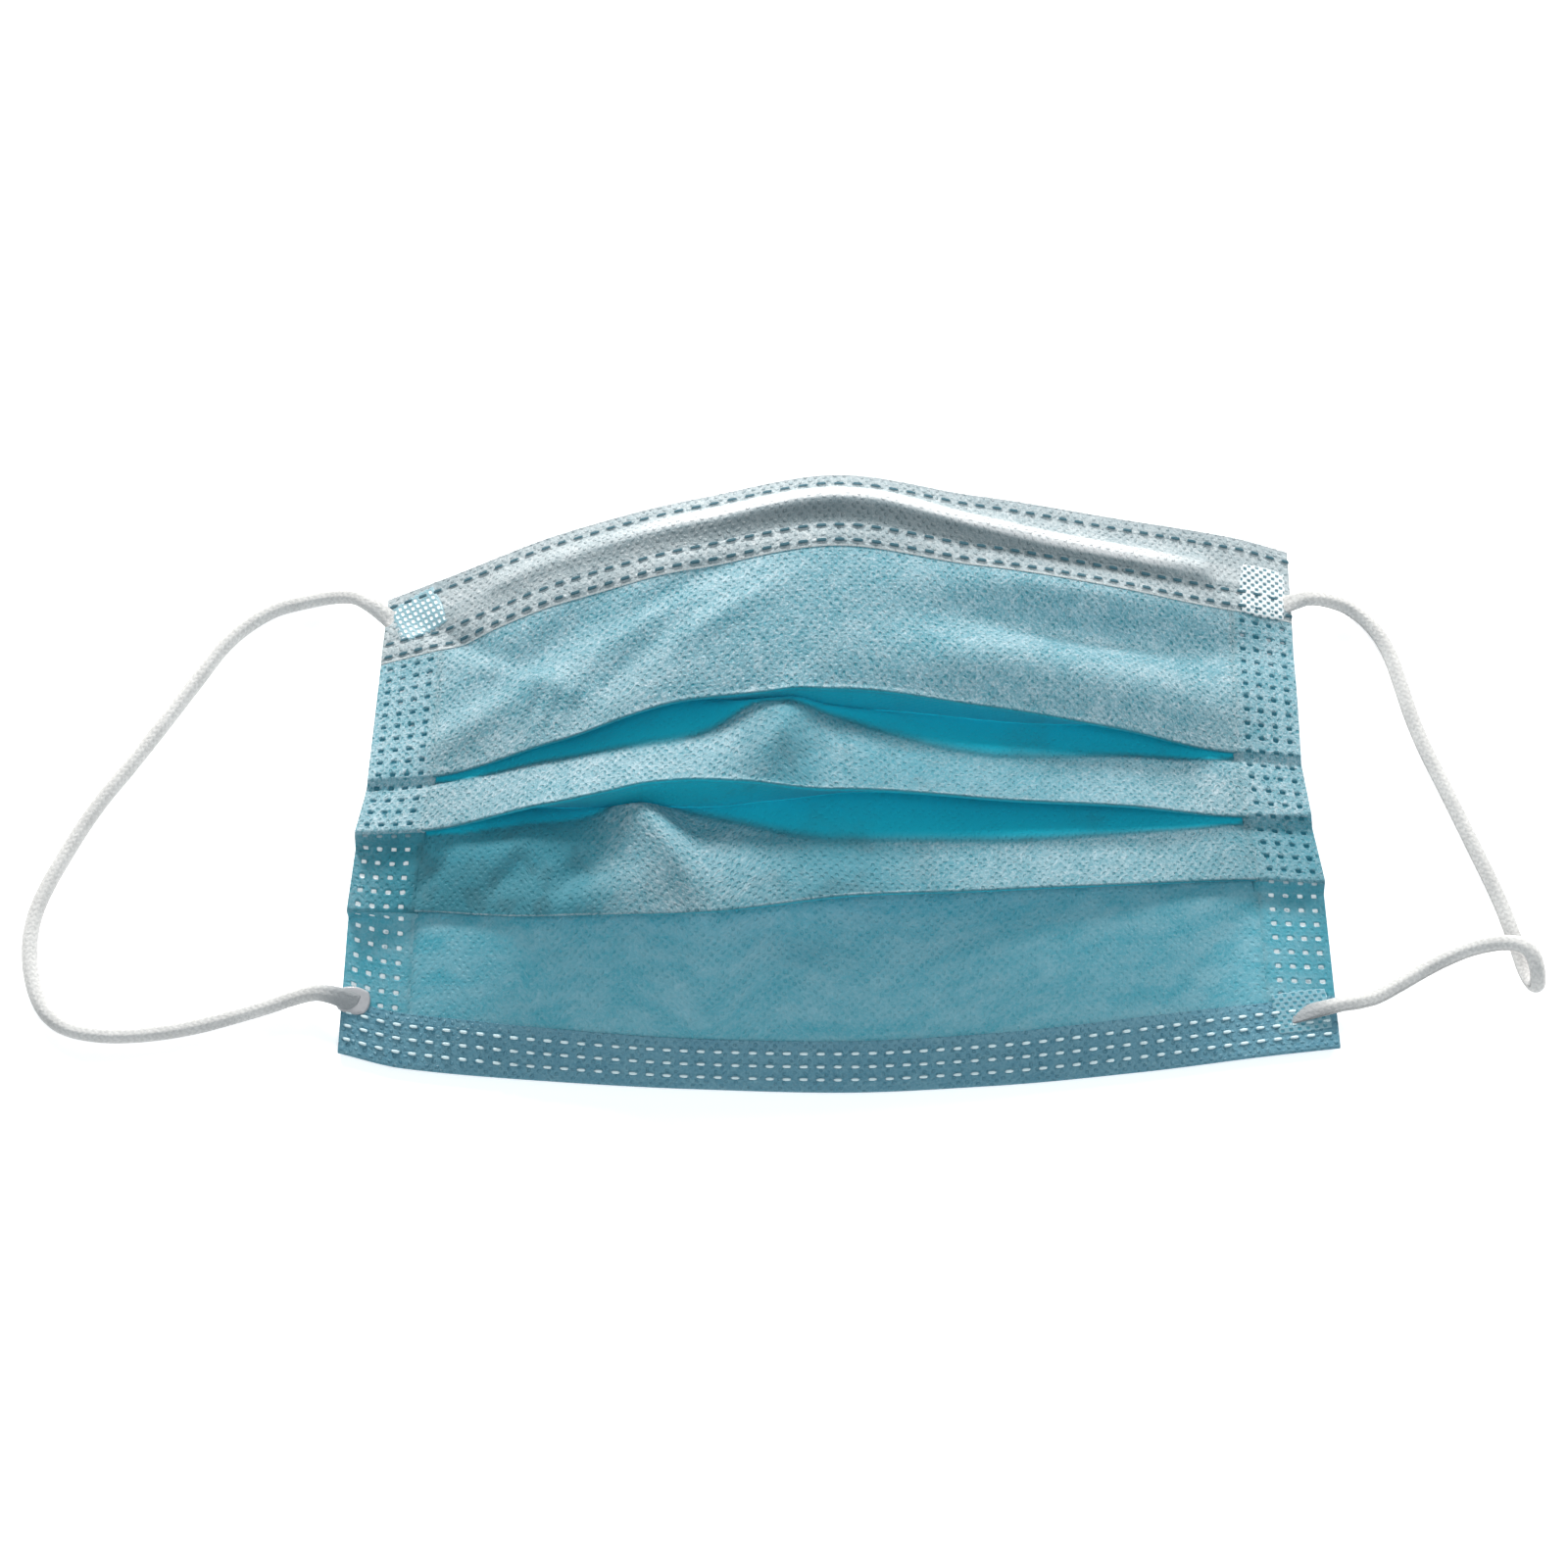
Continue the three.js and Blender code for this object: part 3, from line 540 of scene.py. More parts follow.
def depth_in_pleats(s, parts):
    """How much shade is painted on each point, from 0 in the open to 1 deep in a pleat"""
    deep = {}
    for name, points in parts.items():
        kind, number = name.split("_")
        k = int(number)
        if kind == "fold":
            around = np.linspace(*FOLD_SHADE, len(points)).clip(0, 1)
            deep[name] = np.broadcast_to(around[:, None], points.shape[:2])
        elif kind != "panel":
            deep[name] = np.ones(points.shape[:2])
        elif k not in SHADES:
            deep[name] = np.zeros(points.shape[:2])
        else:
            below = below_tip(line(FOLDS[k - 2], s), points)
            open_share = 1 - 0.8 * ridge_share(k, s, below)
            # Painted shade: deep under the fold above, and less of it outside, from PANEL_SHADE and
            # RIDGE_BACK
            shade = 1 - smooth_step(below / (across(SHADES[k], s) * open_share), 0.7, 1.1)
            off = (s - RIDGE_BACK["s"]) / RIDGE_BACK["wide"]
            away = np.exp(-(off**2)) * RIDGE_BACK["dull"] * (k == RIDGE_BACK["panel"])
            deep[name] = np.maximum(shade, np.maximum(across(PANEL_SHADE[k], s) * open_share, away))
    return deep


def joined(parts):
    """The parts in one array, without the rows where one ends and the next begins"""
    names = list(parts)
    return np.concatenate([parts[names[0]]] + [parts[name][1:] for name in names[1:]])


def sides_of(section, thickness):
    """Front and back of a wall round a section"""
    front = front_of(unit(np.gradient(section, axis=0)))
    return section + front * thickness / 2, section - front * thickness / 2


middle = joined(cloth_section(np.array([0.0])))
print("cloth from nose edge to hem, in the middle:", round(lengths_along(middle)[-1, 0], 1), "mm")

# %% [markdown]
# The middle of the mask is that section at many stations, given a thickness. Its blue front and its white
# lining get separate material slots. The attribute `flat` says where each point lies on the cloth before
# it was folded, so that the fabric's pattern follows the cloth round its folds. `deep` says how much shade
# is painted on a point, deep in a pleat or on a panel that faces away from the lamps. `low` marks the
# lowest panel, whose cloth is smoother and is painted a deeper blue for the shade it lies in.

# %% The pleated sheet
CLOTH_COLUMNS = 196
CLOTH_FROM_EDGE = 9.6
UNDER_STRIPS = 0.005


def flat_coordinates(points):
    """Distances across and down the cloth, in metres, as a third row of numbers for each point"""
    down = lengths_along(points)
    right = np.swapaxes(lengths_along(np.swapaxes(points[: 1], 0, 1)), 0, 1)
    right = np.broadcast_to(right - right.mean(), down.shape)
    return np.stack([right, down, np.zeros_like(down)], -1) * MM


stations = np.linspace(-STRIP_START - UNDER_STRIPS, STRIP_START + UNDER_STRIPS, CLOTH_COLUMNS)
parts = cloth_section(stations)
section, deep = joined(parts), joined(depth_in_pleats(stations, parts))
low = joined({name: np.full(part.shape[:2], float(name == "panel_4")) for name, part in parts.items()})
# The first rows lie under the nose binding and aren't made
hidden_rows = int(np.argmax(lengths_along(section)[:, CLOTH_COLUMNS // 2] > CLOTH_FROM_EDGE))
front, back = sides_of(section[hidden_rows:], CLOTH)
front, back = place(stations, front), place(stations, back)
cloth_attributes = {"flat": flat_coordinates(front), "deep": deep[hidden_rows:], "low": low[hidden_rows:]}
cloth = make_sheet("pleated_cloth", front, back, cloth_attributes)
print("pleated sheet:", len(cloth.data.polygons), "faces")

# %% [markdown]
# Along each side all the layers are welded into one flat strip, and only the steps of the fold edges still
# show. The strip's front follows the outermost layer, and its back the innermost. It has a fine grid of
# points, because rows of weld points are pressed into it later. `along` and `across` say how far each
# point is down the strip and in from the edge, and `press_way` is the direction into the cloth. Its inner
# edge is tucked into the pleated sheet.

# %% Welded side strips
STRIP_PROUD = 0.06
STRIP_TUCK = 0.3
STRIP_INNER = 0.855
STRIP_COLUMNS = 52
STRIP_ROWS = [190, 52, 62, 160]


def resampled(section, count):
    """The same curve with evenly spaced rows"""
    walked = lengths_along(section)
    out = np.empty((count, *section.shape[1:]))
    for j in range(section.shape[1]):
        even = np.linspace(0, walked[-1, j], count)
        for axis in range(section.shape[2]):
            out[:, j, axis] = np.interp(even, walked[:, j], section[:, j, axis])
    return out


def strip_sections(s):
    """Front and back of the welded side at stations s"""
    parts = cloth_section(s)
    fronts = {name: sides_of(part, CLOTH + 2 * STRIP_PROUD)[0] for name, part in parts.items()}
    backs = {name: sides_of(part, CLOTH + 2 * STRIP_PROUD)[1] for name, part in parts.items()}
    top, under = [], []
    for k, rows in enumerate(STRIP_ROWS, start=1):
        panel = parts[f"panel_{k}"]
        length = lengths_along(panel)[-1].mean()
        first = 0 if k == 1 else math.ceil((PLEAT_DEPTH + FOLD_RADIUS) / length * len(panel))
        last = len(panel) if k == 4 else int((length - PLEAT_DEPTH - 1) / length * len(panel))
        outline = [fronts[f"panel_{k}"][first:]]
        if k < 4:
            outline.append(fronts[f"fold_{k}"][1 : ARC_ROWS // 2 + 1])
        if k > 1:
            outline.insert(0, top[-1][-1:])
            under.append(backs[f"turn_{k - 1}"][ARC_ROWS // 2 :])
        top.append(resampled(np.concatenate(outline), rows)[0 if k == 1 else 1 :])
        under.append(backs[f"panel_{k}"][:last])
    top = np.concatenate(top)
    return top, resampled(np.concatenate(under), len(top))


def into_cloth(points):
    """Unit vectors into the cloth, from the grid's own slopes"""
    down, right = np.gradient(points, axis=0), np.gradient(points, axis=1)
    return -unit(np.cross(down, right))


def press_attributes(points, along, across_rows):
    """What the weld points need to know about each point of a front grid; a back grid isn't pressed"""
    return {
        "press_way": np.concatenate([into_cloth(points), np.zeros_like(points)]),
        "along": np.concatenate([along, along]) * MM,
        "across": np.concatenate([across_rows, across_rows]) * MM,
    }


def make_strip(side):
    s = np.sort(side * np.linspace(STRIP_INNER, 1, STRIP_COLUMNS))
    top, under = strip_sections(s)
    tuck = smooth_step(np.abs(s), STRIP_INNER, STRIP_START)
    top = top - (1 - tuck)[:, None] * np.array([0, STRIP_TUCK])
    front, back = place(s, top), place(s, under)
    inward = half_width(s, top[..., 0]) * (1 - np.abs(s))
    attributes = press_attributes(front, lengths_along(front), inward)
    attributes["flat"] = flat_coordinates(front)
    ends = np.cumsum(STRIP_ROWS) - np.arange(len(STRIP_ROWS))
    panel = np.searchsorted(ends[:-1], np.arange(len(front)), side="right") + 1
    attributes["low"] = np.broadcast_to((panel == 4)[:, None], front.shape[:2]).astype(float)
    # Painted shade on the welded sides, from PANEL_SHADE as on the panels
    attributes["deep"] = np.stack([across(PANEL_SHADE.get(k, np.zeros(len(STATIONS))), s) for k in panel])
    return make_sheet(f"welded_side_{'left' if side < 0 else 'right'}", front, back, attributes)


strips = [make_strip(-1), make_strip(1)]
print("welded sides:", [len(strip.data.polygons) for strip in strips], "faces")

# %% [markdown]
# Two strips of cloth bind the long edges. The white one is folded over the nose edge and holds the flat
# wire, which raises a ridge; the other is turned over the hem. Both are the same shape with other sizes:
# a leaf in front, a half turn round the edge and a leaf behind. Rows of points lie closer together where
# dashes are pressed in. The wire lies lower in its pocket on the right, so the ridge sinks there. The edges
# of the leaves are drawn close to the cloth.

# %% Bands folded over the edges
BANDS = {
    "nose_binding": dict(edge="nose", height=15.4, offset=0.42, wall=0.22, dashes=[2.6, 11.3, 14.3]),
    "hem_band": dict(edge="hem", height=9.4, offset=0.36, wall=0.2, dashes=[2.6, 4.95, 7.3]),
}
BAND_COLUMNS = 480
LEAF_STEP = 0.6
DASH_REACH = 0.6
DASH_STEP = 0.12
WIRE_RIDGE = dict(crest=6.4, above=2.5, below=2.1, left=-0.765, right=0.82, sinks=2.0)
WIRE_RISE = [0.8, 0.8, 1.0, 1.6, 2.4, 2.2, 2.0, 1.7, 1.3]
LEAF_EDGE = 0.24
LEAF_EDGE_REACH = 1.4
BACK_LEAF_ROWS = 9
BEND_ROWS = 7


def leaf_distances(height, dashes, bend):
    """Distances from the edge for the rows of the front leaf, close together where dashes go"""
    steps = np.arange(-DASH_REACH, DASH_REACH + 0.01, DASH_STEP)
    near = [dash + step for dash in dashes for step in steps if bend < dash + step < height - 0.05]
    even = np.arange(bend, height, LEAF_STEP)
    far = [d for d in even if min(abs(d - dash) for dash in dashes) > DASH_REACH + 0.1]
    return np.array(sorted([*near, *far, height])[::-1])


def at_distances(path, distances):
    """Points and directions of travel at distances from the start of a path of rows x stations x (y, z)"""
    walked = lengths_along(path)
    travel = unit(np.gradient(path, axis=0))
    out = np.empty((2, len(distances), path.shape[1], 2))
    for j in range(path.shape[1]):
        for axis in range(2):
            out[0, :, j, axis] = np.interp(distances, walked[:, j], path[:, j, axis])
            out[1, :, j, axis] = np.interp(distances, walked[:, j], travel[:, j, axis])
    return out[0], unit(out[1])


def wire_ridge(s, distances):
    """How much the wire lifts the front leaf"""
    ends = smooth_step(s, WIRE_RIDGE["left"] - 0.01, WIRE_RIDGE["left"] + 0.02)
    ends = ends * (1 - smooth_step(s, WIRE_RIDGE["right"] - 0.02, WIRE_RIDGE["right"] + 0.01))
    past = distances[:, None] - WIRE_RIDGE["crest"] - WIRE_RIDGE["sinks"] * smooth_step(s, 0.05, 0.5)
    bump = np.exp(-((past / np.where(past < 0, WIRE_RIDGE["above"], WIRE_RIDGE["below"])) ** 2))
    return bump * across(WIRE_RISE, s) * ends


def make_band(name, edge, height, offset, wall, dashes):
    s = np.linspace(-1, 1, BAND_COLUMNS)
    parts = cloth_section(s)
    path = parts["panel_1"] if edge == "nose" else parts["panel_4"][::-1]
    flip = 1 if edge == "nose" else -1
    distances = leaf_distances(height, dashes, offset)
    back_distances = np.linspace(offset, height, BACK_LEAF_ROWS)
    spots, travel = at_distances(path, distances)
    back_spots, back_travel = at_distances(path, back_distances)
    centre, way = at_distances(path, np.array([offset]))
    out = -way[0]
    turn = np.linspace(0, math.pi, BEND_ROWS + 2)[1:-1, None, None]
    ridge = wire_ridge(s, distances) if edge == "nose" else np.zeros((len(distances), len(s)))
    drawn_in = (offset - LEAF_EDGE) * smooth_step(distances, height - LEAF_EDGE_REACH, height)
    leaves = []
    for shift in (wall / 2, -wall / 2):
        reach = offset + shift
        lifted = ridge + reach - drawn_in[:, None]
        upper = spots + flip * front_of(travel) * lifted[..., None]
        bend = centre + reach * (np.cos(turn) * flip * front_of(way[0]) + np.sin(turn) * out)
        lower = back_spots - flip * front_of(back_travel) * reach
        leaves.append(place(s, np.concatenate([upper, bend, lower])))
    rows = len(leaves[0])
    around = np.full(rows, height * 2)
    around[: len(distances)] = distances
    along = lengths_along(leaves[0][len(distances) - 1])
    attributes = press_attributes(leaves[0], *np.broadcast_arrays(along, around[:, None]))
    attributes["flat"] = flat_coordinates(leaves[0])
    if edge == "hem":
        leaves = [leaf[:, ::-1] for leaf in leaves]
        attributes = {key: value[:, ::-1] for key, value in attributes.items()}
        attributes["press_way"] = -attributes["press_way"]
    return make_sheet(name, *leaves, attributes)


bands = {name: make_band(name, **sizes) for name, sizes in BANDS.items()}
print("bands:", {name: len(band.data.polygons) for name, band in bands.items()}, "faces")

# %% [markdown]
# The elastic ends are welded onto the corners. Each weld leaves a flat patch with rounded corners that
# follows the surface below it. The height of that surface comes from the same sections as the bands. Three
# patches get a fine pattern of pressed points later. The one at the lower left stays smooth: it is the
# melted end of the cord itself.

# %% Welded ends of the loops
PATCHES = {
    "weld_patch_top_left": dict(
        x=-75.4, y=36.2, long=9.0, wide=9.4, turn=20, edge="nose", thick=0.26, corner=0.14,
    ),
    "weld_patch_top_right": dict(
        x=77.2, y=41.6, long=8.6, wide=10.6, turn=-4, edge="nose", thick=0.26, corner=0.14,
    ),
    "weld_patch_bottom_left": dict(
        x=-84.2, y=-36.9, long=6.0, wide=4.8, turn=-12, edge="hem", thick=0.4, corner=0.4,
    ),
    "weld_patch_bottom_right": dict(
        x=80.4, y=-38.4, long=10.0, wide=7.6, turn=8, edge="hem", thick=0.26, corner=0.14,
    ),
}
PATCH_POINTS = 84
PATCH_SUNK = 0.12
PATCH_RIM_SUNK = 0.02
PATCH_RIM_POWER = 8


def surface_height(x, y, edge):
    """Height of the bands' outer faces over places x and y"""
    band = BANDS["nose_binding" if edge == "nose" else "hem_band"]
    reach = band["offset"] + band["wall"] / 2
    s = np.clip(x / half_width(np.zeros_like(y) + np.sign(x), y), -1, 1)
    path = cloth_section(s)["panel_1" if edge == "nose" else "panel_4"]
    path = path + front_of(unit(np.gradient(path, axis=0))) * reach
    z = [np.interp(-here, -path[:, j, 0], path[:, j, 1]) for j, here in enumerate(y)]
    return np.array(z) + relief(x, y)


def make_patch(name, x, y, long, wide, turn, edge, thick, corner):
    span = np.linspace(-1, 1, PATCH_POINTS)
    a, b = np.meshgrid(span, span, indexing="xy")
    # A square grid pulled to a square with rounded corners
    u, v = a * np.sqrt(1 - corner * b * b), b * np.sqrt(1 - corner * a * a)
    angle = math.radians(turn)
    dx, dy = u * long / 2, v * wide / 2
    px = x + dx * math.cos(angle) - dy * math.sin(angle)
    py = y + dx * math.sin(angle) + dy * math.cos(angle)
    ground = surface_height(px.ravel(), py.ravel(), edge).reshape(px.shape)
    rim = 1 - np.maximum(np.abs(a), np.abs(b)) ** PATCH_RIM_POWER
    raised = thick * np.sqrt(np.maximum(rim, 0)) - PATCH_RIM_SUNK
    top = np.stack([px, py, ground + raised], -1)[::-1]
    base = np.stack([px, py, ground - PATCH_SUNK], -1)[::-1]
    attributes = press_attributes(top, dx[::-1] + long, dy[::-1] + wide)
    attributes["flat"] = np.stack([px, py, ground], -1)[::-1] * MM
    return make_sheet(name, top, base, attributes)


patches = {name: make_patch(name, **sizes) for name, sizes in PATCHES.items()}
print("patches:", list(patches))

# %% [markdown]
# Materials and pressed points are both node trees. This small class makes their arithmetic readable: a
# `Wire` is a value on its way through a tree, and adding or multiplying wires adds Math nodes.

# %% Node trees written as arithmetic
class Wire:
    """A value in a node tree"""

    def __init__(self, tree, socket):
        self.tree, self.socket = tree, socket

    def math(self, operation, *others, clamp=False):
        settings = dict(operation=operation, use_clamp=clamp)
        return self.tree.node("ShaderNodeMath", settings, dict(enumerate([self, *others])))[0]

    def __add__(self, other):
        return self.math("ADD", other)

    def __sub__(self, other):
        return self.math("SUBTRACT", other)

    def __rsub__(self, other):
        return self.math("MULTIPLY", -1).math("ADD", other)

    def __mul__(self, other):
        return self.math("MULTIPLY", other)

    def __truediv__(self, other):
        return self.math("DIVIDE", other)

    def __pow__(self, other):
        return self.math("POWER", other)

    __radd__ = __add__
    __rmul__ = __mul__

    def smooth(self, low, high, to_low=0.0, to_high=1.0):
        """Smooth step from low to high"""
        sockets = {"Value": self, "From Min": low, "From Max": high, "To Min": to_low, "To Max": to_high}
        return self.tree.node("ShaderNodeMapRange", dict(interpolation_type="SMOOTHSTEP"), sockets)[0]

    def cosine(self, period):
        return (self * (2 * math.pi / period)).math("COSINE")


class Made:
    """A new node; [name or number] is one of its outputs"""

    def __init__(self, tree, node):
        self.tree, self.made = tree, node

    def __getitem__(self, key):
        return Wire(self.tree, self.made.outputs[key])


class Tree:
    def __init__(self, tree):
        self.tree = tree

    def node(self, kind, settings=None, sockets=None):
        """A node: its settings are set first, then its sockets get values or wires"""
        node = self.tree.nodes.new(kind)
        for key, value in (settings or {}).items():
            setattr(node, key, value)
        for key, value in (sockets or {}).items():
            if isinstance(value, Wire):
                self.tree.links.new(value.socket, node.inputs[key])
            else:
                node.inputs[key].default_value = value
        return Made(self, node)


print("node helpers ready")

# %% [markdown]
# Weld points, dashes and knurling are the same thing: a tool with a grid of small blunt teeth pressed into
# the cloth. One Geometry Nodes tree does them all. It finds each point's place in its own cell of the
# grid, makes a rounded dish there with a slight rim, varies the depth from tooth to tooth, and moves the
# point into the cloth. It also keeps how deep it pressed in the attribute `pressed`, for the colours.

# %% Pressed points
PRESS_INPUTS = [
    ("Pitch Along", "NodeSocketFloat", 0.0026),
    ("Pitch Across", "NodeSocketFloat", 0.0025),
    ("Tooth Along", "NodeSocketFloat", 0.0008),
    ("Tooth Across", "NodeSocketFloat", 0.001),
    ("Depth", "NodeSocketFloat", 0.0002),
    ("Rim", "NodeSocketFloat", 0.00004),
    ("First Row", "NodeSocketFloat", 0.0018),
    ("Rows", "NodeSocketInt", 4),
    ("Stagger", "NodeSocketFloat", 0.0),
    ("Seed", "NodeSocketInt", 1),
    ("Front", "NodeSocketMaterial", None),
    ("Lining", "NodeSocketMaterial", None),
]
TOOTH_SQUARENESS = 4
TOOTH_DEPTHS = (0.7, 1.15)


def attribute(tree, name, kind="FLOAT"):
    made = tree.node("GeometryNodeInputNamedAttribute", dict(data_type=kind), {"Name": name})
    return made["Attribute"]


def make_press_group():
    group = bpy.data.node_groups.new("press points", "GeometryNodeTree")
    group.interface.new_socket("Geometry", in_out="INPUT", socket_type="NodeSocketGeometry")
    group.interface.new_socket("Geometry", in_out="OUTPUT", socket_type="NodeSocketGeometry")
    for name, kind, value in PRESS_INPUTS:
        socket = group.interface.new_socket(name, in_out="INPUT", socket_type=kind)
        if value is not None:
            socket.default_value = value
    tree = Tree(group)
    given = tree.node("NodeGroupInput")

    inward = attribute(tree, "across") - given["First Row"]
    row = (inward / given["Pitch Across"]).math("ROUND").math("MAXIMUM", 0)
    row = row.math("MINIMUM", given["Rows"] - 1)
    v = (inward - row * given["Pitch Across"]) / given["Tooth Across"] * 2
    cells_walked = attribute(tree, "along") / given["Pitch Along"] + row * given["Stagger"]
    cell = cells_walked.math("FLOOR")
    u = (cells_walked - cell - 0.5) * given["Pitch Along"] / given["Tooth Along"] * 2
    power = TOOTH_SQUARENESS
    distance = (u.math("ABSOLUTE") ** power + v.math("ABSOLUTE") ** power) ** (1 / power)
    dish = 1 - distance.smooth(0.75, 1.2)
    rim = distance.smooth(0.9, 1.3) * (1 - distance.smooth(1.3, 1.8))

    low, high = TOOTH_DEPTHS
    chance = {2: low, 3: high, "ID": cell * 61 + row * 7, "Seed": given["Seed"]}
    vary = tree.node("FunctionNodeRandomValue", dict(data_type="FLOAT"), chance)[1]
    move = dish * given["Depth"] * vary - rim * given["Rim"]
    scaled = {0: attribute(tree, "press_way", "FLOAT_VECTOR"), "Scale": move}
    way = tree.node("ShaderNodeVectorMath", dict(operation="SCALE"), scaled)[0]
    keep = {"Name": "pressed", "Value": attribute(tree, "pressed").math("MAXIMUM", dish)}
    back = attribute(tree, "lining").math("GREATER_THAN", 0.9)

    shape = given["Geometry"]
    for kind, settings, sockets in (
        ("SetPosition", None, {"Offset": way}),
        ("StoreNamedAttribute", dict(data_type="FLOAT", domain="POINT"), keep),
        ("RealizeInstances", None, {}),
        ("SetMaterial", None, {"Material": given["Front"]}),
        ("SetMaterial", None, {"Material": given["Lining"], "Selection": back}),
    ):
        shape = tree.node(f"GeometryNode{kind}", settings, {"Geometry": shape, **sockets})["Geometry"]
    tree.node("NodeGroupOutput", None, {"Geometry": shape})
    return group


press_group = make_press_group()
PRESS_SOCKETS = {
    item.name: item.identifier for item in press_group.interface.items_tree if item.in_out == "INPUT"
}


def press(piece, front, lining, *patterns):
    """Presses the patterns into a piece one after another, and keeps the result as a plain mesh"""
    for pattern in patterns:
        modifier = piece.modifiers.new("press points", "NODES")
        modifier.node_group = press_group
        for name, value in {**pattern, "Front": front, "Lining": lining}.items():
            modifier[PRESS_SOCKETS[name]] = value
    piece.update_tag()
    evaluated = piece.evaluated_get(bpy.context.evaluated_depsgraph_get())
    mesh = bpy.data.meshes.new_from_object(evaluated)
    mesh.name = piece.name
    piece.modifiers.clear()
    piece.data = mesh


print("press tree has", len(press_group.nodes), "nodes")

# %% [markdown]
# The outer layer is spunbond cloth: fine plastic fibres in all directions, held together by a staggered
# grid of tiny melted points. Where light falls on it the fibres shine pale, and between them the dye shows.
# Light also comes through it. The lining is the same cloth without the dye. The attribute `deep` says
# where shade is painted: clear blue deep in a pleat, and a darker, greyer blue on the way into it and on
# panels that face away from the lamps. On the nose binding, a painted highlight along the wire's crest,
# painted shade in the valley below it, a painted dark line along the nose edge and a painted bright line
# along the lower edge are placed by their distance from the edge.

# %% Cloth materials
def make_material(name, build):
    material = bpy.data.materials.new(name)
    material.use_nodes = True
    material.node_tree.nodes.clear()
    tree = Tree(material.node_tree)
    tree.node("ShaderNodeOutputMaterial", None, {"Surface": build(tree)})
    return material


def stored(tree, name):
    return tree.node("ShaderNodeAttribute", dict(attribute_name=name))


def object_place(tree):
    return tree.node("ShaderNodeTexCoord")["Object"]


def blend(tree, factor, first, second):
    settings = dict(data_type="RGBA", clamp_factor=True)
    return tree.node("ShaderNodeMix", settings, {0: factor, 6: first, 7: second})[2]


def noise(tree, vector, scale, stretch=(1, 1, 1), turn=0, detail=3, rough=0.55, curl=0.0):
    """Noise on a vector that is turned, then stretched"""
    placed = tree.node(
        "ShaderNodeMapping",
        dict(vector_type="TEXTURE"),
        {"Vector": vector, "Rotation": (0, 0, math.radians(turn)), "Scale": stretch},
    )[0]
    sockets = {"Vector": placed, "Scale": scale, "Detail": detail, "Roughness": rough, "Distortion": curl}
    return tree.node("ShaderNodeTexNoise", None, sockets)[0]


def bump(tree, height, strength):
    return tree.node("ShaderNodeBump", None, {"Strength": strength, "Distance": 1, "Height": height})[0]


def principled(tree, sockets):
    return tree.node("ShaderNodeBsdfPrincipled", None, sockets)[0]


BOND_PERIOD = 1.7 * MM
BOND_WANDER = 1.6 * MM
# Colours of the lowest panel: its smoother cloth, painted a deeper, more even blue for its shade
LOW_DEEP = (0.05, 0.41, 0.52, 1)
LOW_PALE = (0.18, 0.5, 0.6, 1)


def bonding_points(tree, flat):
    """A staggered grid of small melted points, some of them weak and all a little out of line"""
    parts = tree.node("ShaderNodeSeparateXYZ", None, {0: flat})
    right = parts[0] + noise(tree, flat, 260, detail=1) * BOND_WANDER
    down = parts[1] + noise(tree, flat, 330, detail=1) * BOND_WANDER
    weak = noise(tree, flat, 420, detail=2).smooth(0.35, 0.6, 0.25, 1)
    return (right.cosine(BOND_PERIOD) * down.cosine(BOND_PERIOD)).smooth(0.15, 0.9) * weak


def fibres(tree, flat):
    """Curled bundles of fibres in all directions"""
    one = noise(tree, flat, 900, stretch=(1.7, 1, 1), turn=24, detail=4, rough=0.65, curl=1.5)
    two = noise(tree, flat, 1000, stretch=(1.7, 1, 1), turn=-48, detail=3, rough=0.6, curl=1.2)
    return one.math("MAXIMUM", two)


# Colours of the painted highlight along the binding's crest and of the painted shade in its valley
CREST_HIGHLIGHT = (0.93, 0.94, 0.95, 1)
VALLEY_SHADE = (0.12, 0.17, 0.19, 1)
CREST_SINKS = 2.8 * MM
VALLEY_SINKS = 1.6 * MM
VALLEY_STRENGTH = 0.62


def band_between(value, rise, fall):
    """1 where the value lies between the rise and the fall, each given as two distances in mm"""
    return value.smooth(rise[0] * MM, rise[1] * MM) * (1 - value.smooth(fall[0] * MM, fall[1] * MM))


def painted_binding(tree, colour, clouds, rims):
    """The nose binding's colour with a painted highlight on the crest and painted shade in the valley along
    the wire, and painted lines along its two rims
    """
    walked = stored(tree, "across")["Fac"]
    sideways = tree.node("ShaderNodeSeparateXYZ", None, {0: object_place(tree)})[0]
    fades_left = sideways.smooth(-50 * MM, -14 * MM, 0.25, 1)
    strength = fades_left * (1 - sideways.smooth(52 * MM, 68 * MM) * 0.6)
    to_right = sideways.smooth(5 * MM, 40 * MM)
    crest = band_between(walked - to_right * CREST_SINKS, rise=(3.0, 4.4), fall=(6.4, 7.2))
    valley = band_between(walked - to_right * VALLEY_SINKS, rise=(6.8, 8.0), fall=(10.0, 11.0))
    bright = strength.smooth(0.25, 1, 0.1, 0.95) * clouds.smooth(0.3, 0.6, 0.7, 1)
    colour = blend(tree, crest * bright, colour, CREST_HIGHLIGHT)
    colour = blend(tree, valley * strength * VALLEY_STRENGTH * (1 - crest), colour, VALLEY_SHADE)
    # A painted dark line along the nose edge, and a painted bright line along the lower edge
    colour = blend(tree, 1 - walked.smooth(0.2 * MM, 1.0 * MM), colour, (*rims[0], 1))
    return blend(tree, walked.smooth(15.0 * MM, 15.3 * MM), colour, (*rims[1], 1))


LOW_DOTS_BELOW = -11 * MM
LOW_DOTS_FADE = 3 * MM
LOW_DOTS_SLOPE = 0.035


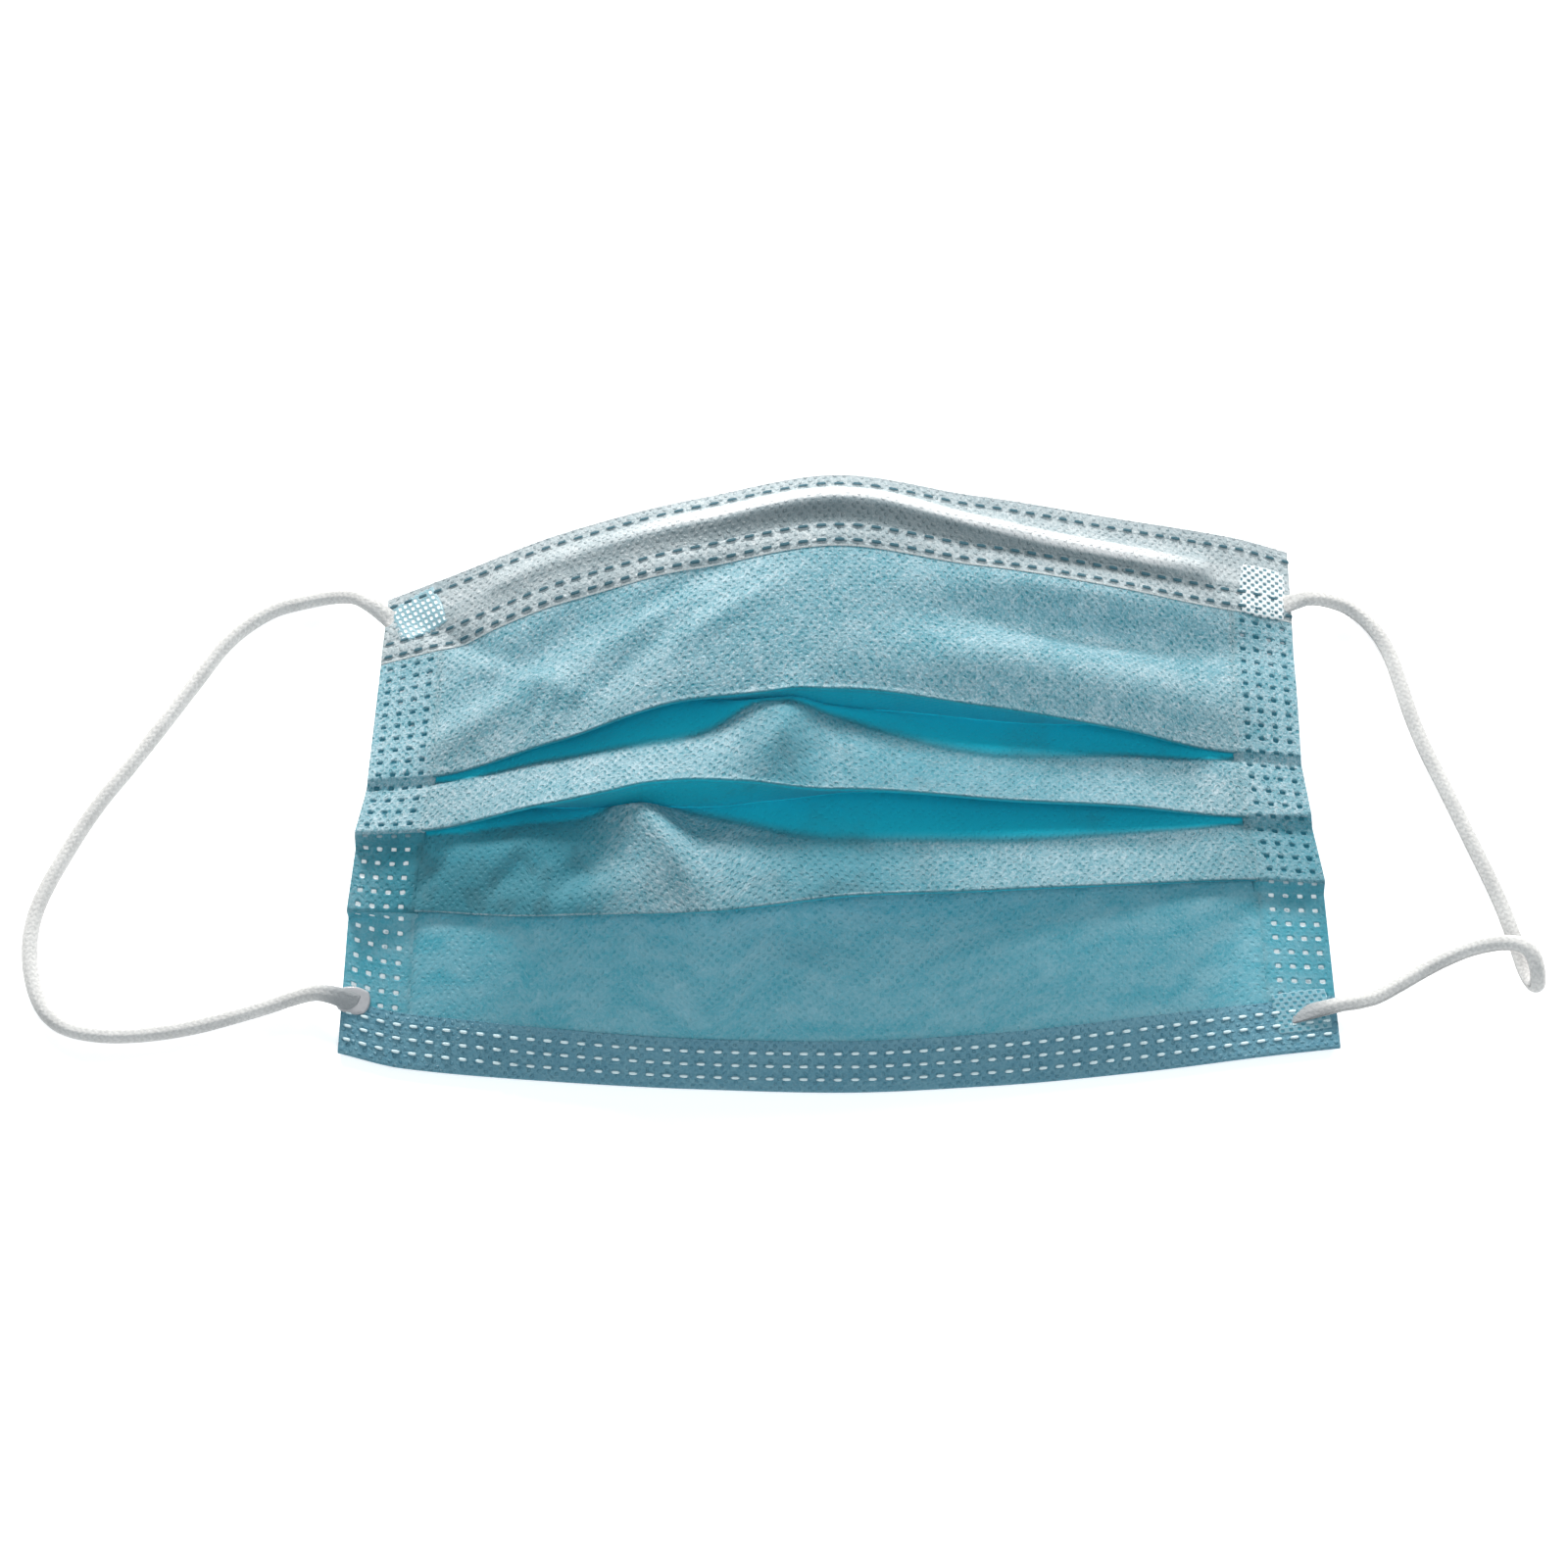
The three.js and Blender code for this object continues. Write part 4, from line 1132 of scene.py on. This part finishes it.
def dot_colour(tree, dot, low_dot):
    """The colour of the pressed points, with painted light below a slanting line, for the table's light
    through them
    """
    if not low_dot:
        return (*dot, 1)
    spot = tree.node("ShaderNodeSeparateXYZ", None, {0: object_place(tree)})
    up = spot[1] + spot[0] * LOW_DOTS_SLOPE
    above = up.smooth(LOW_DOTS_BELOW - LOW_DOTS_FADE, LOW_DOTS_BELOW)
    return blend(tree, above, (*low_dot, 1), (*dot, 1))


SPECKLE = 0.66
EVEN_LIGHT = 0.13
BLOTCH_SHADE = 0.6
FIBRE_RELIEF = 0.22 * MM
GRAIN_RELIEF = 0.14 * MM
POINT_RELIEF = 0.3 * MM


def spunbond(deep, pale, glow, through, dot=None, low_dot=None, pleat=None, dull=None, rims=None):
    """Shader of non-woven cloth, from its deep and pale colours and the colour of the light through it.
    `dot` colours the pressed points, and `low_dot` is painted light on those in the lower part. `dull` is
    shade painted on the way into a pleat and on cloth that faces away from the lamps, `pleat` shade painted
    deep in a pleat, and `rims` two lines painted along the ends of a band."""

    def build(tree):
        flat = stored(tree, "flat")["Vector"]
        points, fibre = bonding_points(tree, flat), fibres(tree, flat)
        clouds = noise(tree, flat, 70, detail=4)
        streaks = noise(tree, flat, 300, stretch=(2.4, 1, 1), turn=-8, detail=4)
        grain = noise(tree, flat, 2400, detail=2)
        light = fibre.smooth(0.45, 0.75) * 0.8 + grain.smooth(0.42, 0.75) * 0.55
        light = light + clouds.smooth(0.35, 0.65) * 0.2
        light = light + streaks.smooth(0.35, 0.65, -0.04, 0.14) - points * 0.3
        light = (light * SPECKLE + EVEN_LIGHT).math("MAXIMUM", 0)
        colour = blend(tree, light, (*deep, 1), (*pale, 1))
        height = fibre * FIBRE_RELIEF + grain * GRAIN_RELIEF - points * POINT_RELIEF
        rough = fibre * 0.2 + 0.38
        clear = through
        if pleat:
            # The lowest panel is smoother, and its colour is painted deeper for the shade it lies in
            low = stored(tree, "low")["Fac"]
            height = height * (1 - low * 0.6)
            soft = blend(tree, streaks.smooth(0.3, 0.7), LOW_DEEP, LOW_PALE)
            colour = blend(tree, low * 0.7, colour, soft)
            # Painted shade: a greyer blue with darker blotches on the way into a pleat, and clear blue deep
            # in it
            deep_share = stored(tree, "deep")["Fac"] * clouds.smooth(0.2, 0.5, 0.8, 1)
            blotches = noise(tree, flat, 170, detail=2).smooth(0.5, 0.64)
            shade_colour = blend(tree, blotches * 0.6, (*dull, 1), (*[c * BLOTCH_SHADE for c in dull], 1))
            colour = blend(tree, (deep_share * 2).math("MINIMUM", 0.9), colour, shade_colour)
            colour = blend(tree, (deep_share * 2 - 1).math("MAXIMUM", 0), colour, (*pleat, 1))
            height, rough = height * (1 - deep_share * 0.7), rough + deep_share * 0.4
        if rims:
            colour = painted_binding(tree, colour, clouds, rims)
        if dot:
            pressed = stored(tree, "pressed")["Fac"].smooth(0.3, 0.9)
            colour = blend(tree, pressed * 0.95, colour, dot_colour(tree, dot, low_dot))
            height = height * (1 - pressed)
            rough = rough + pressed * 0.3
            clear = (1 - pressed) * through
        normal = bump(tree, height, 0.8)
        surface = {
            "Base Color": colour, "Roughness": rough, "Normal": normal,
            "Specular IOR Level": 0.45, "IOR": 1.6, "Sheen Weight": 0.05, "Sheen Roughness": 0.4,
        }
        glowing = {"Color": (*glow, 1), "Normal": normal}
        lit_through = tree.node("ShaderNodeBsdfTranslucent", None, glowing)[0]
        sockets = {0: clear, 1: principled(tree, surface), 2: lit_through}
        return tree.node("ShaderNodeMixShader", None, sockets)[0]

    return build


BLUE = dict(
    deep=(0.035, 0.265, 0.335), pale=(0.6, 0.72, 0.77), glow=(0.01, 0.42, 0.53), through=0.3,
    # pleat and dull are colours of painted shade
    pleat=(0.0, 0.56, 0.73), dull=(0.025, 0.24, 0.31),
)
blue_cloth = make_material("blue_cloth", spunbond(**BLUE))
# Weld points are dark from the fused plies and from painted shade, and white low down from painted light
blue_weld = make_material("blue_weld", spunbond(**BLUE, dot=(0.01, 0.15, 0.21), low_dot=(0.98, 1, 1)))
lining = make_material(
    "lining",
    spunbond(deep=(0.6, 0.72, 0.78), pale=(0.86, 0.9, 0.92), glow=(0.6, 0.75, 0.8), through=0.3),
)
binding_cloth = make_material(
    "binding_cloth",
    spunbond(
        deep=(0.24, 0.34, 0.38), pale=(0.68, 0.73, 0.75), glow=(0.2, 0.4, 0.45), through=0.2,
        # Dashes: the blue cloth showing through, with painted shade; rims: a painted dark and a painted
        # bright line
        dot=(0.005, 0.08, 0.115), rims=((0.3, 0.33, 0.36), (0.95, 1, 1)),
    ),
)
hem_cloth = make_material(
    "hem_cloth",
    spunbond(
        deep=(0.07, 0.26, 0.37), pale=(0.19, 0.41, 0.5), glow=(0.08, 0.36, 0.47), through=0.2,
        # Pale dashes: a painted reflection in their dishes
        dot=(0.7, 0.85, 0.88),
    ),
)
print("cloth materials:", [m.name for m in bpy.data.materials if not m.name.startswith("CAD")])

# %% [markdown]
# The elastic is knitted from fine white yarn, so its surface is covered in small slanting stitches with
# some fuzz. Where the lower weld has half melted it, it is greyer. The patches of the welds are smoother
# and shinier. Each has its own colour, and another one in its pressed points. The wire is drawn aluminium,
# which only shows if the mask is taken apart.

# %% Elastic, weld and wire materials
STITCH = 1.15 * MM
COLUMNS_AROUND = 7
STITCH_RELIEF = 0.02 * MM
RIB_RELIEF = 0.03 * MM
FUZZ_RELIEF = 0.16 * MM
MELTED_GREY = (0.27, 0.285, 0.3, 1)


def elastic(tree):
    knit = tree.node("ShaderNodeSeparateXYZ", None, {0: stored(tree, "knit")["Vector"]})
    turns, walked = knit[0], knit[1]
    slant = (turns * (2 * math.pi * COLUMNS_AROUND)).math("SINE")
    stitch = (walked / STITCH * (2 * math.pi) + slant * 1.4).math("COSINE")
    rib = (turns * (2 * math.pi * COLUMNS_AROUND)).math("COSINE")
    fuzz = noise(tree, object_place(tree), 2600, detail=3)
    patches_of_grey = noise(tree, object_place(tree), 160, detail=2)
    height = stitch * STITCH_RELIEF + rib * RIB_RELIEF + fuzz * FUZZ_RELIEF
    shade = (stitch * 0.06 + fuzz * 0.6 + patches_of_grey * 0.4).smooth(0.2, 0.8)
    colour = blend(tree, shade, (0.46, 0.455, 0.45, 1), (0.7, 0.69, 0.68, 1))
    colour = blend(tree, knit[2] * 0.9, colour, MELTED_GREY)
    surface = {
        "Base Color": colour, "Roughness": 0.8, "Normal": bump(tree, height, 0.8),
        "Sheen Weight": 0.3, "Sheen Roughness": 0.4,
    }
    return principled(tree, surface)


def weld(deep, pale):
    """Melted elastic on cloth, with one colour on the raised parts and another in the pressed ones"""

    def build(tree):
        pressed = stored(tree, "pressed")["Fac"]
        clouds = noise(tree, stored(tree, "flat")["Vector"], 500, detail=3)
        colour = blend(tree, pressed * 0.95 + clouds * 0.2 - 0.1, (*pale, 1), (*deep, 1))
        normal = bump(tree, clouds * 0.0001, 0.5)
        surface = {"Base Color": colour, "Roughness": 0.42, "Normal": normal, "Coat Weight": 0.15}
        return principled(tree, surface)

    return build


def drawn_metal(tree):
    lines = noise(tree, object_place(tree), 3000, stretch=(30, 1, 1), detail=2)
    colour = blend(tree, lines, (0.55, 0.56, 0.58, 1), (0.78, 0.79, 0.8, 1))
    return principled(tree, {"Base Color": colour, "Roughness": lines * 0.25 + 0.25, "Metallic": 1})


elastic_yarn = make_material("elastic", elastic)
WELDS = {
    "weld_patch_top_left": make_material("welded_dots", weld((0.85, 0.9, 0.92), (0.2, 0.36, 0.42))),
    "weld_patch_top_right": make_material("welded_elastic", weld((0.01, 0.14, 0.19), (0.62, 0.67, 0.69))),
    "weld_patch_bottom_left": make_material("welded_end", weld((0.4, 0.4, 0.42), (0.42, 0.42, 0.44))),
    "weld_patch_bottom_right": make_material("welded_blue", weld((0.05, 0.25, 0.33), (0.2, 0.38, 0.45))),
}
wire_metal = make_material("nose_wire", drawn_metal)
print("now", len(bpy.data.materials), "materials")

# %% [markdown]
# Now each pattern is pressed in. The sizes are in metres, as the tree works on the finished meshes. Four
# columns of points run down each welded side. Three rows of dashes hold each band. The knurling differs
# from weld to weld, and the smooth one gets none.

# %% Press the patterns in
SIDE_POINTS = {
    "Pitch Along": 2.62 * MM, "Pitch Across": 2.5 * MM, "Tooth Along": 0.8 * MM, "Tooth Across": 1.05 * MM,
    "Depth": 0.42 * MM, "Rim": 0.08 * MM, "First Row": 1.8 * MM, "Rows": 4, "Seed": 3,
}
DASHES = {
    "nose_binding": {"Pitch Along": 3.2 * MM, "Tooth Along": 1.9 * MM, "Tooth Across": 0.72 * MM},
    "hem_band": {"Pitch Along": 2.95 * MM, "Tooth Along": 1.5 * MM, "Tooth Across": 0.55 * MM},
}
KNURL = {
    "Pitch Along": 1.5 * MM, "Pitch Across": 0.78 * MM, "Tooth Along": 0.68 * MM, "Tooth Across": 0.6 * MM,
    "Depth": 0.13 * MM, "Rim": 0.05 * MM, "First Row": 0.6 * MM, "Rows": 40, "Stagger": 0.5, "Seed": 9,
}
KNURLS = {
    "weld_patch_top_left": {
        **KNURL, "Pitch Along": 1.0 * MM, "Pitch Across": 1.35 * MM, "Tooth Along": 0.5 * MM,
        "Tooth Across": 0.85 * MM, "Stagger": 0.12,
    },
    "weld_patch_top_right": KNURL,
    "weld_patch_bottom_left": {**KNURL, "Depth": 0.0, "Rim": 0.0},
    "weld_patch_bottom_right": {**KNURL, "Depth": 0.08 * MM},
}
for strip in strips:
    press(strip, blue_weld, lining, SIDE_POINTS)
for name, band in bands.items():
    rows = [
        {**DASHES[name], "Depth": 0.32 * MM, "Rim": 0.09 * MM, "First Row": row * MM, "Rows": 1, "Seed": k}
        for k, row in enumerate(BANDS[name]["dashes"])
    ]
    front = binding_cloth if name == "nose_binding" else hem_cloth
    press(band, front, front, *rows)
for name, patch in patches.items():
    press(patch, WELDS[name], lining, KNURLS[name])
cloth.data.materials.append(blue_cloth)
cloth.data.materials.append(lining)
for loop in loops.values():
    loop.data.materials.append(elastic_yarn)
for slot in bpy.data.objects["nose_wire"].material_slots:
    slot.material = wire_metal
print({piece.name: len(piece.data.polygons) for piece in (*strips, *bands.values(), *patches.values())})

# %% [markdown]
# Every piece is tied to the body and stands for its plain solid. A shut mask is 95 mm high. The six
# hidden layers of its pleats add 8.5 mm each, and the turns of the cloth about 1 mm in all.

# %% Tie the pieces to the frame
STANDS_FOR = {
    "pleated_cloth": ("pleated_panel", "blue_cloth"),
    "welded_side_left": ("pleated_panel", "blue_cloth"),
    "welded_side_right": ("pleated_panel", "blue_cloth"),
    "hem_band": ("pleated_panel", "blue_cloth"),
    "nose_binding": ("top_binding", "binding_cloth"),
    "weld_patch_top_left": ("weld_tab_top_left", "welded_elastic"),
    "weld_patch_top_right": ("weld_tab_top_right", "welded_elastic"),
    "weld_patch_bottom_left": ("weld_tab_bottom_left", "welded_elastic"),
    "weld_patch_bottom_right": ("weld_tab_bottom_right", "welded_elastic"),
}
for name, (node, slot) in STANDS_FOR.items():
    piece = bpy.data.objects[name]
    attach(piece, "root")
    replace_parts(piece, node)
bands["hem_band"]
bands["nose_binding"]
print(len(STANDS_FOR), "pieces tied")

# %% [markdown]
# The mask lies on a pale, plain table, which glows a little so that shadows fade. The main lamp stands low
# behind the mask and a little to the left, and a weaker one low behind it on the right: they rake over the
# cloth and show its relief. A large lamp high on the near side lights the pleats from inside, and the rest
# comes from a bright, even room.

# %% Table and light
TABLE_HALF = 3000
TABLE_GLOW = 0.42
LAMP_DISTANCE = 1.3
LAMP_SIZE = 0.32
LAMP_POWER = 21.5
LAMP_COLOUR = (1, 0.98, 0.95)
LAMP_WAY = Vector((-0.3, 0.85, 0.43)).normalized()
SIDE_POWER = 9.5
SIDE_WAY = Vector((0.75, 0.6, 0.36)).normalized()
ROOM_COLOUR = (0.9, 0.97, 1, 1)
ROOM_STRENGTH = 0.3
FILL_POWER = 20
FILL_SIZE = 1.4
FILL_WAY = Vector((0.1, -0.42, 0.9)).normalized()
FILL_DISTANCE = 2.2


def table_top(tree):
    clouds = noise(tree, object_place(tree), 6, detail=2)
    colour = blend(tree, clouds, (0.93, 0.93, 0.93, 1), (0.95, 0.95, 0.95, 1))
    surface = {
        "Base Color": colour, "Roughness": 0.7,
        "Emission Color": (1, 1, 1, 1), "Emission Strength": TABLE_GLOW,
    }
    return principled(tree, surface)


TABLE_CORNERS = [(-1, -1, 0), (1, -1, 0), (1, 1, 0), (-1, 1, 0)]
floor = make_piece(
    "table_top",
    np.array(TABLE_CORNERS) * TABLE_HALF,
    [(0, 1, 2, 3)],
    materials=[make_material("table_top", table_top)],
)


def make_lamp(name, way, distance, size, power, colour):
    lamp = bpy.data.lights.new(name, "AREA")
    lamp.shape, lamp.size, lamp.energy, lamp.color = "DISK", size, power, colour
    lamp_object = bpy.data.objects.new(name, lamp)
    lamp_object.location = way * distance
    lamp_object.rotation_euler = way.to_track_quat("Z", "Y").to_euler()
    bpy.context.collection.objects.link(lamp_object)


make_lamp("lamp", LAMP_WAY, LAMP_DISTANCE, LAMP_SIZE, LAMP_POWER, LAMP_COLOUR)
make_lamp("side lamp", SIDE_WAY, LAMP_DISTANCE, LAMP_SIZE, SIDE_POWER, LAMP_COLOUR)
make_lamp("fill", FILL_WAY, FILL_DISTANCE, FILL_SIZE, FILL_POWER, ROOM_COLOUR[:3])

world = bpy.data.worlds.new("room")
bpy.context.scene.world = world
world.use_nodes = True
background = world.node_tree.nodes["Background"]
background.inputs["Color"].default_value = ROOM_COLOUR
background.inputs["Strength"].default_value = ROOM_STRENGTH
bpy.context.scene.view_settings.view_transform = "Standard"
print("lamp", LAMP_POWER, "W, room", ROOM_STRENGTH)
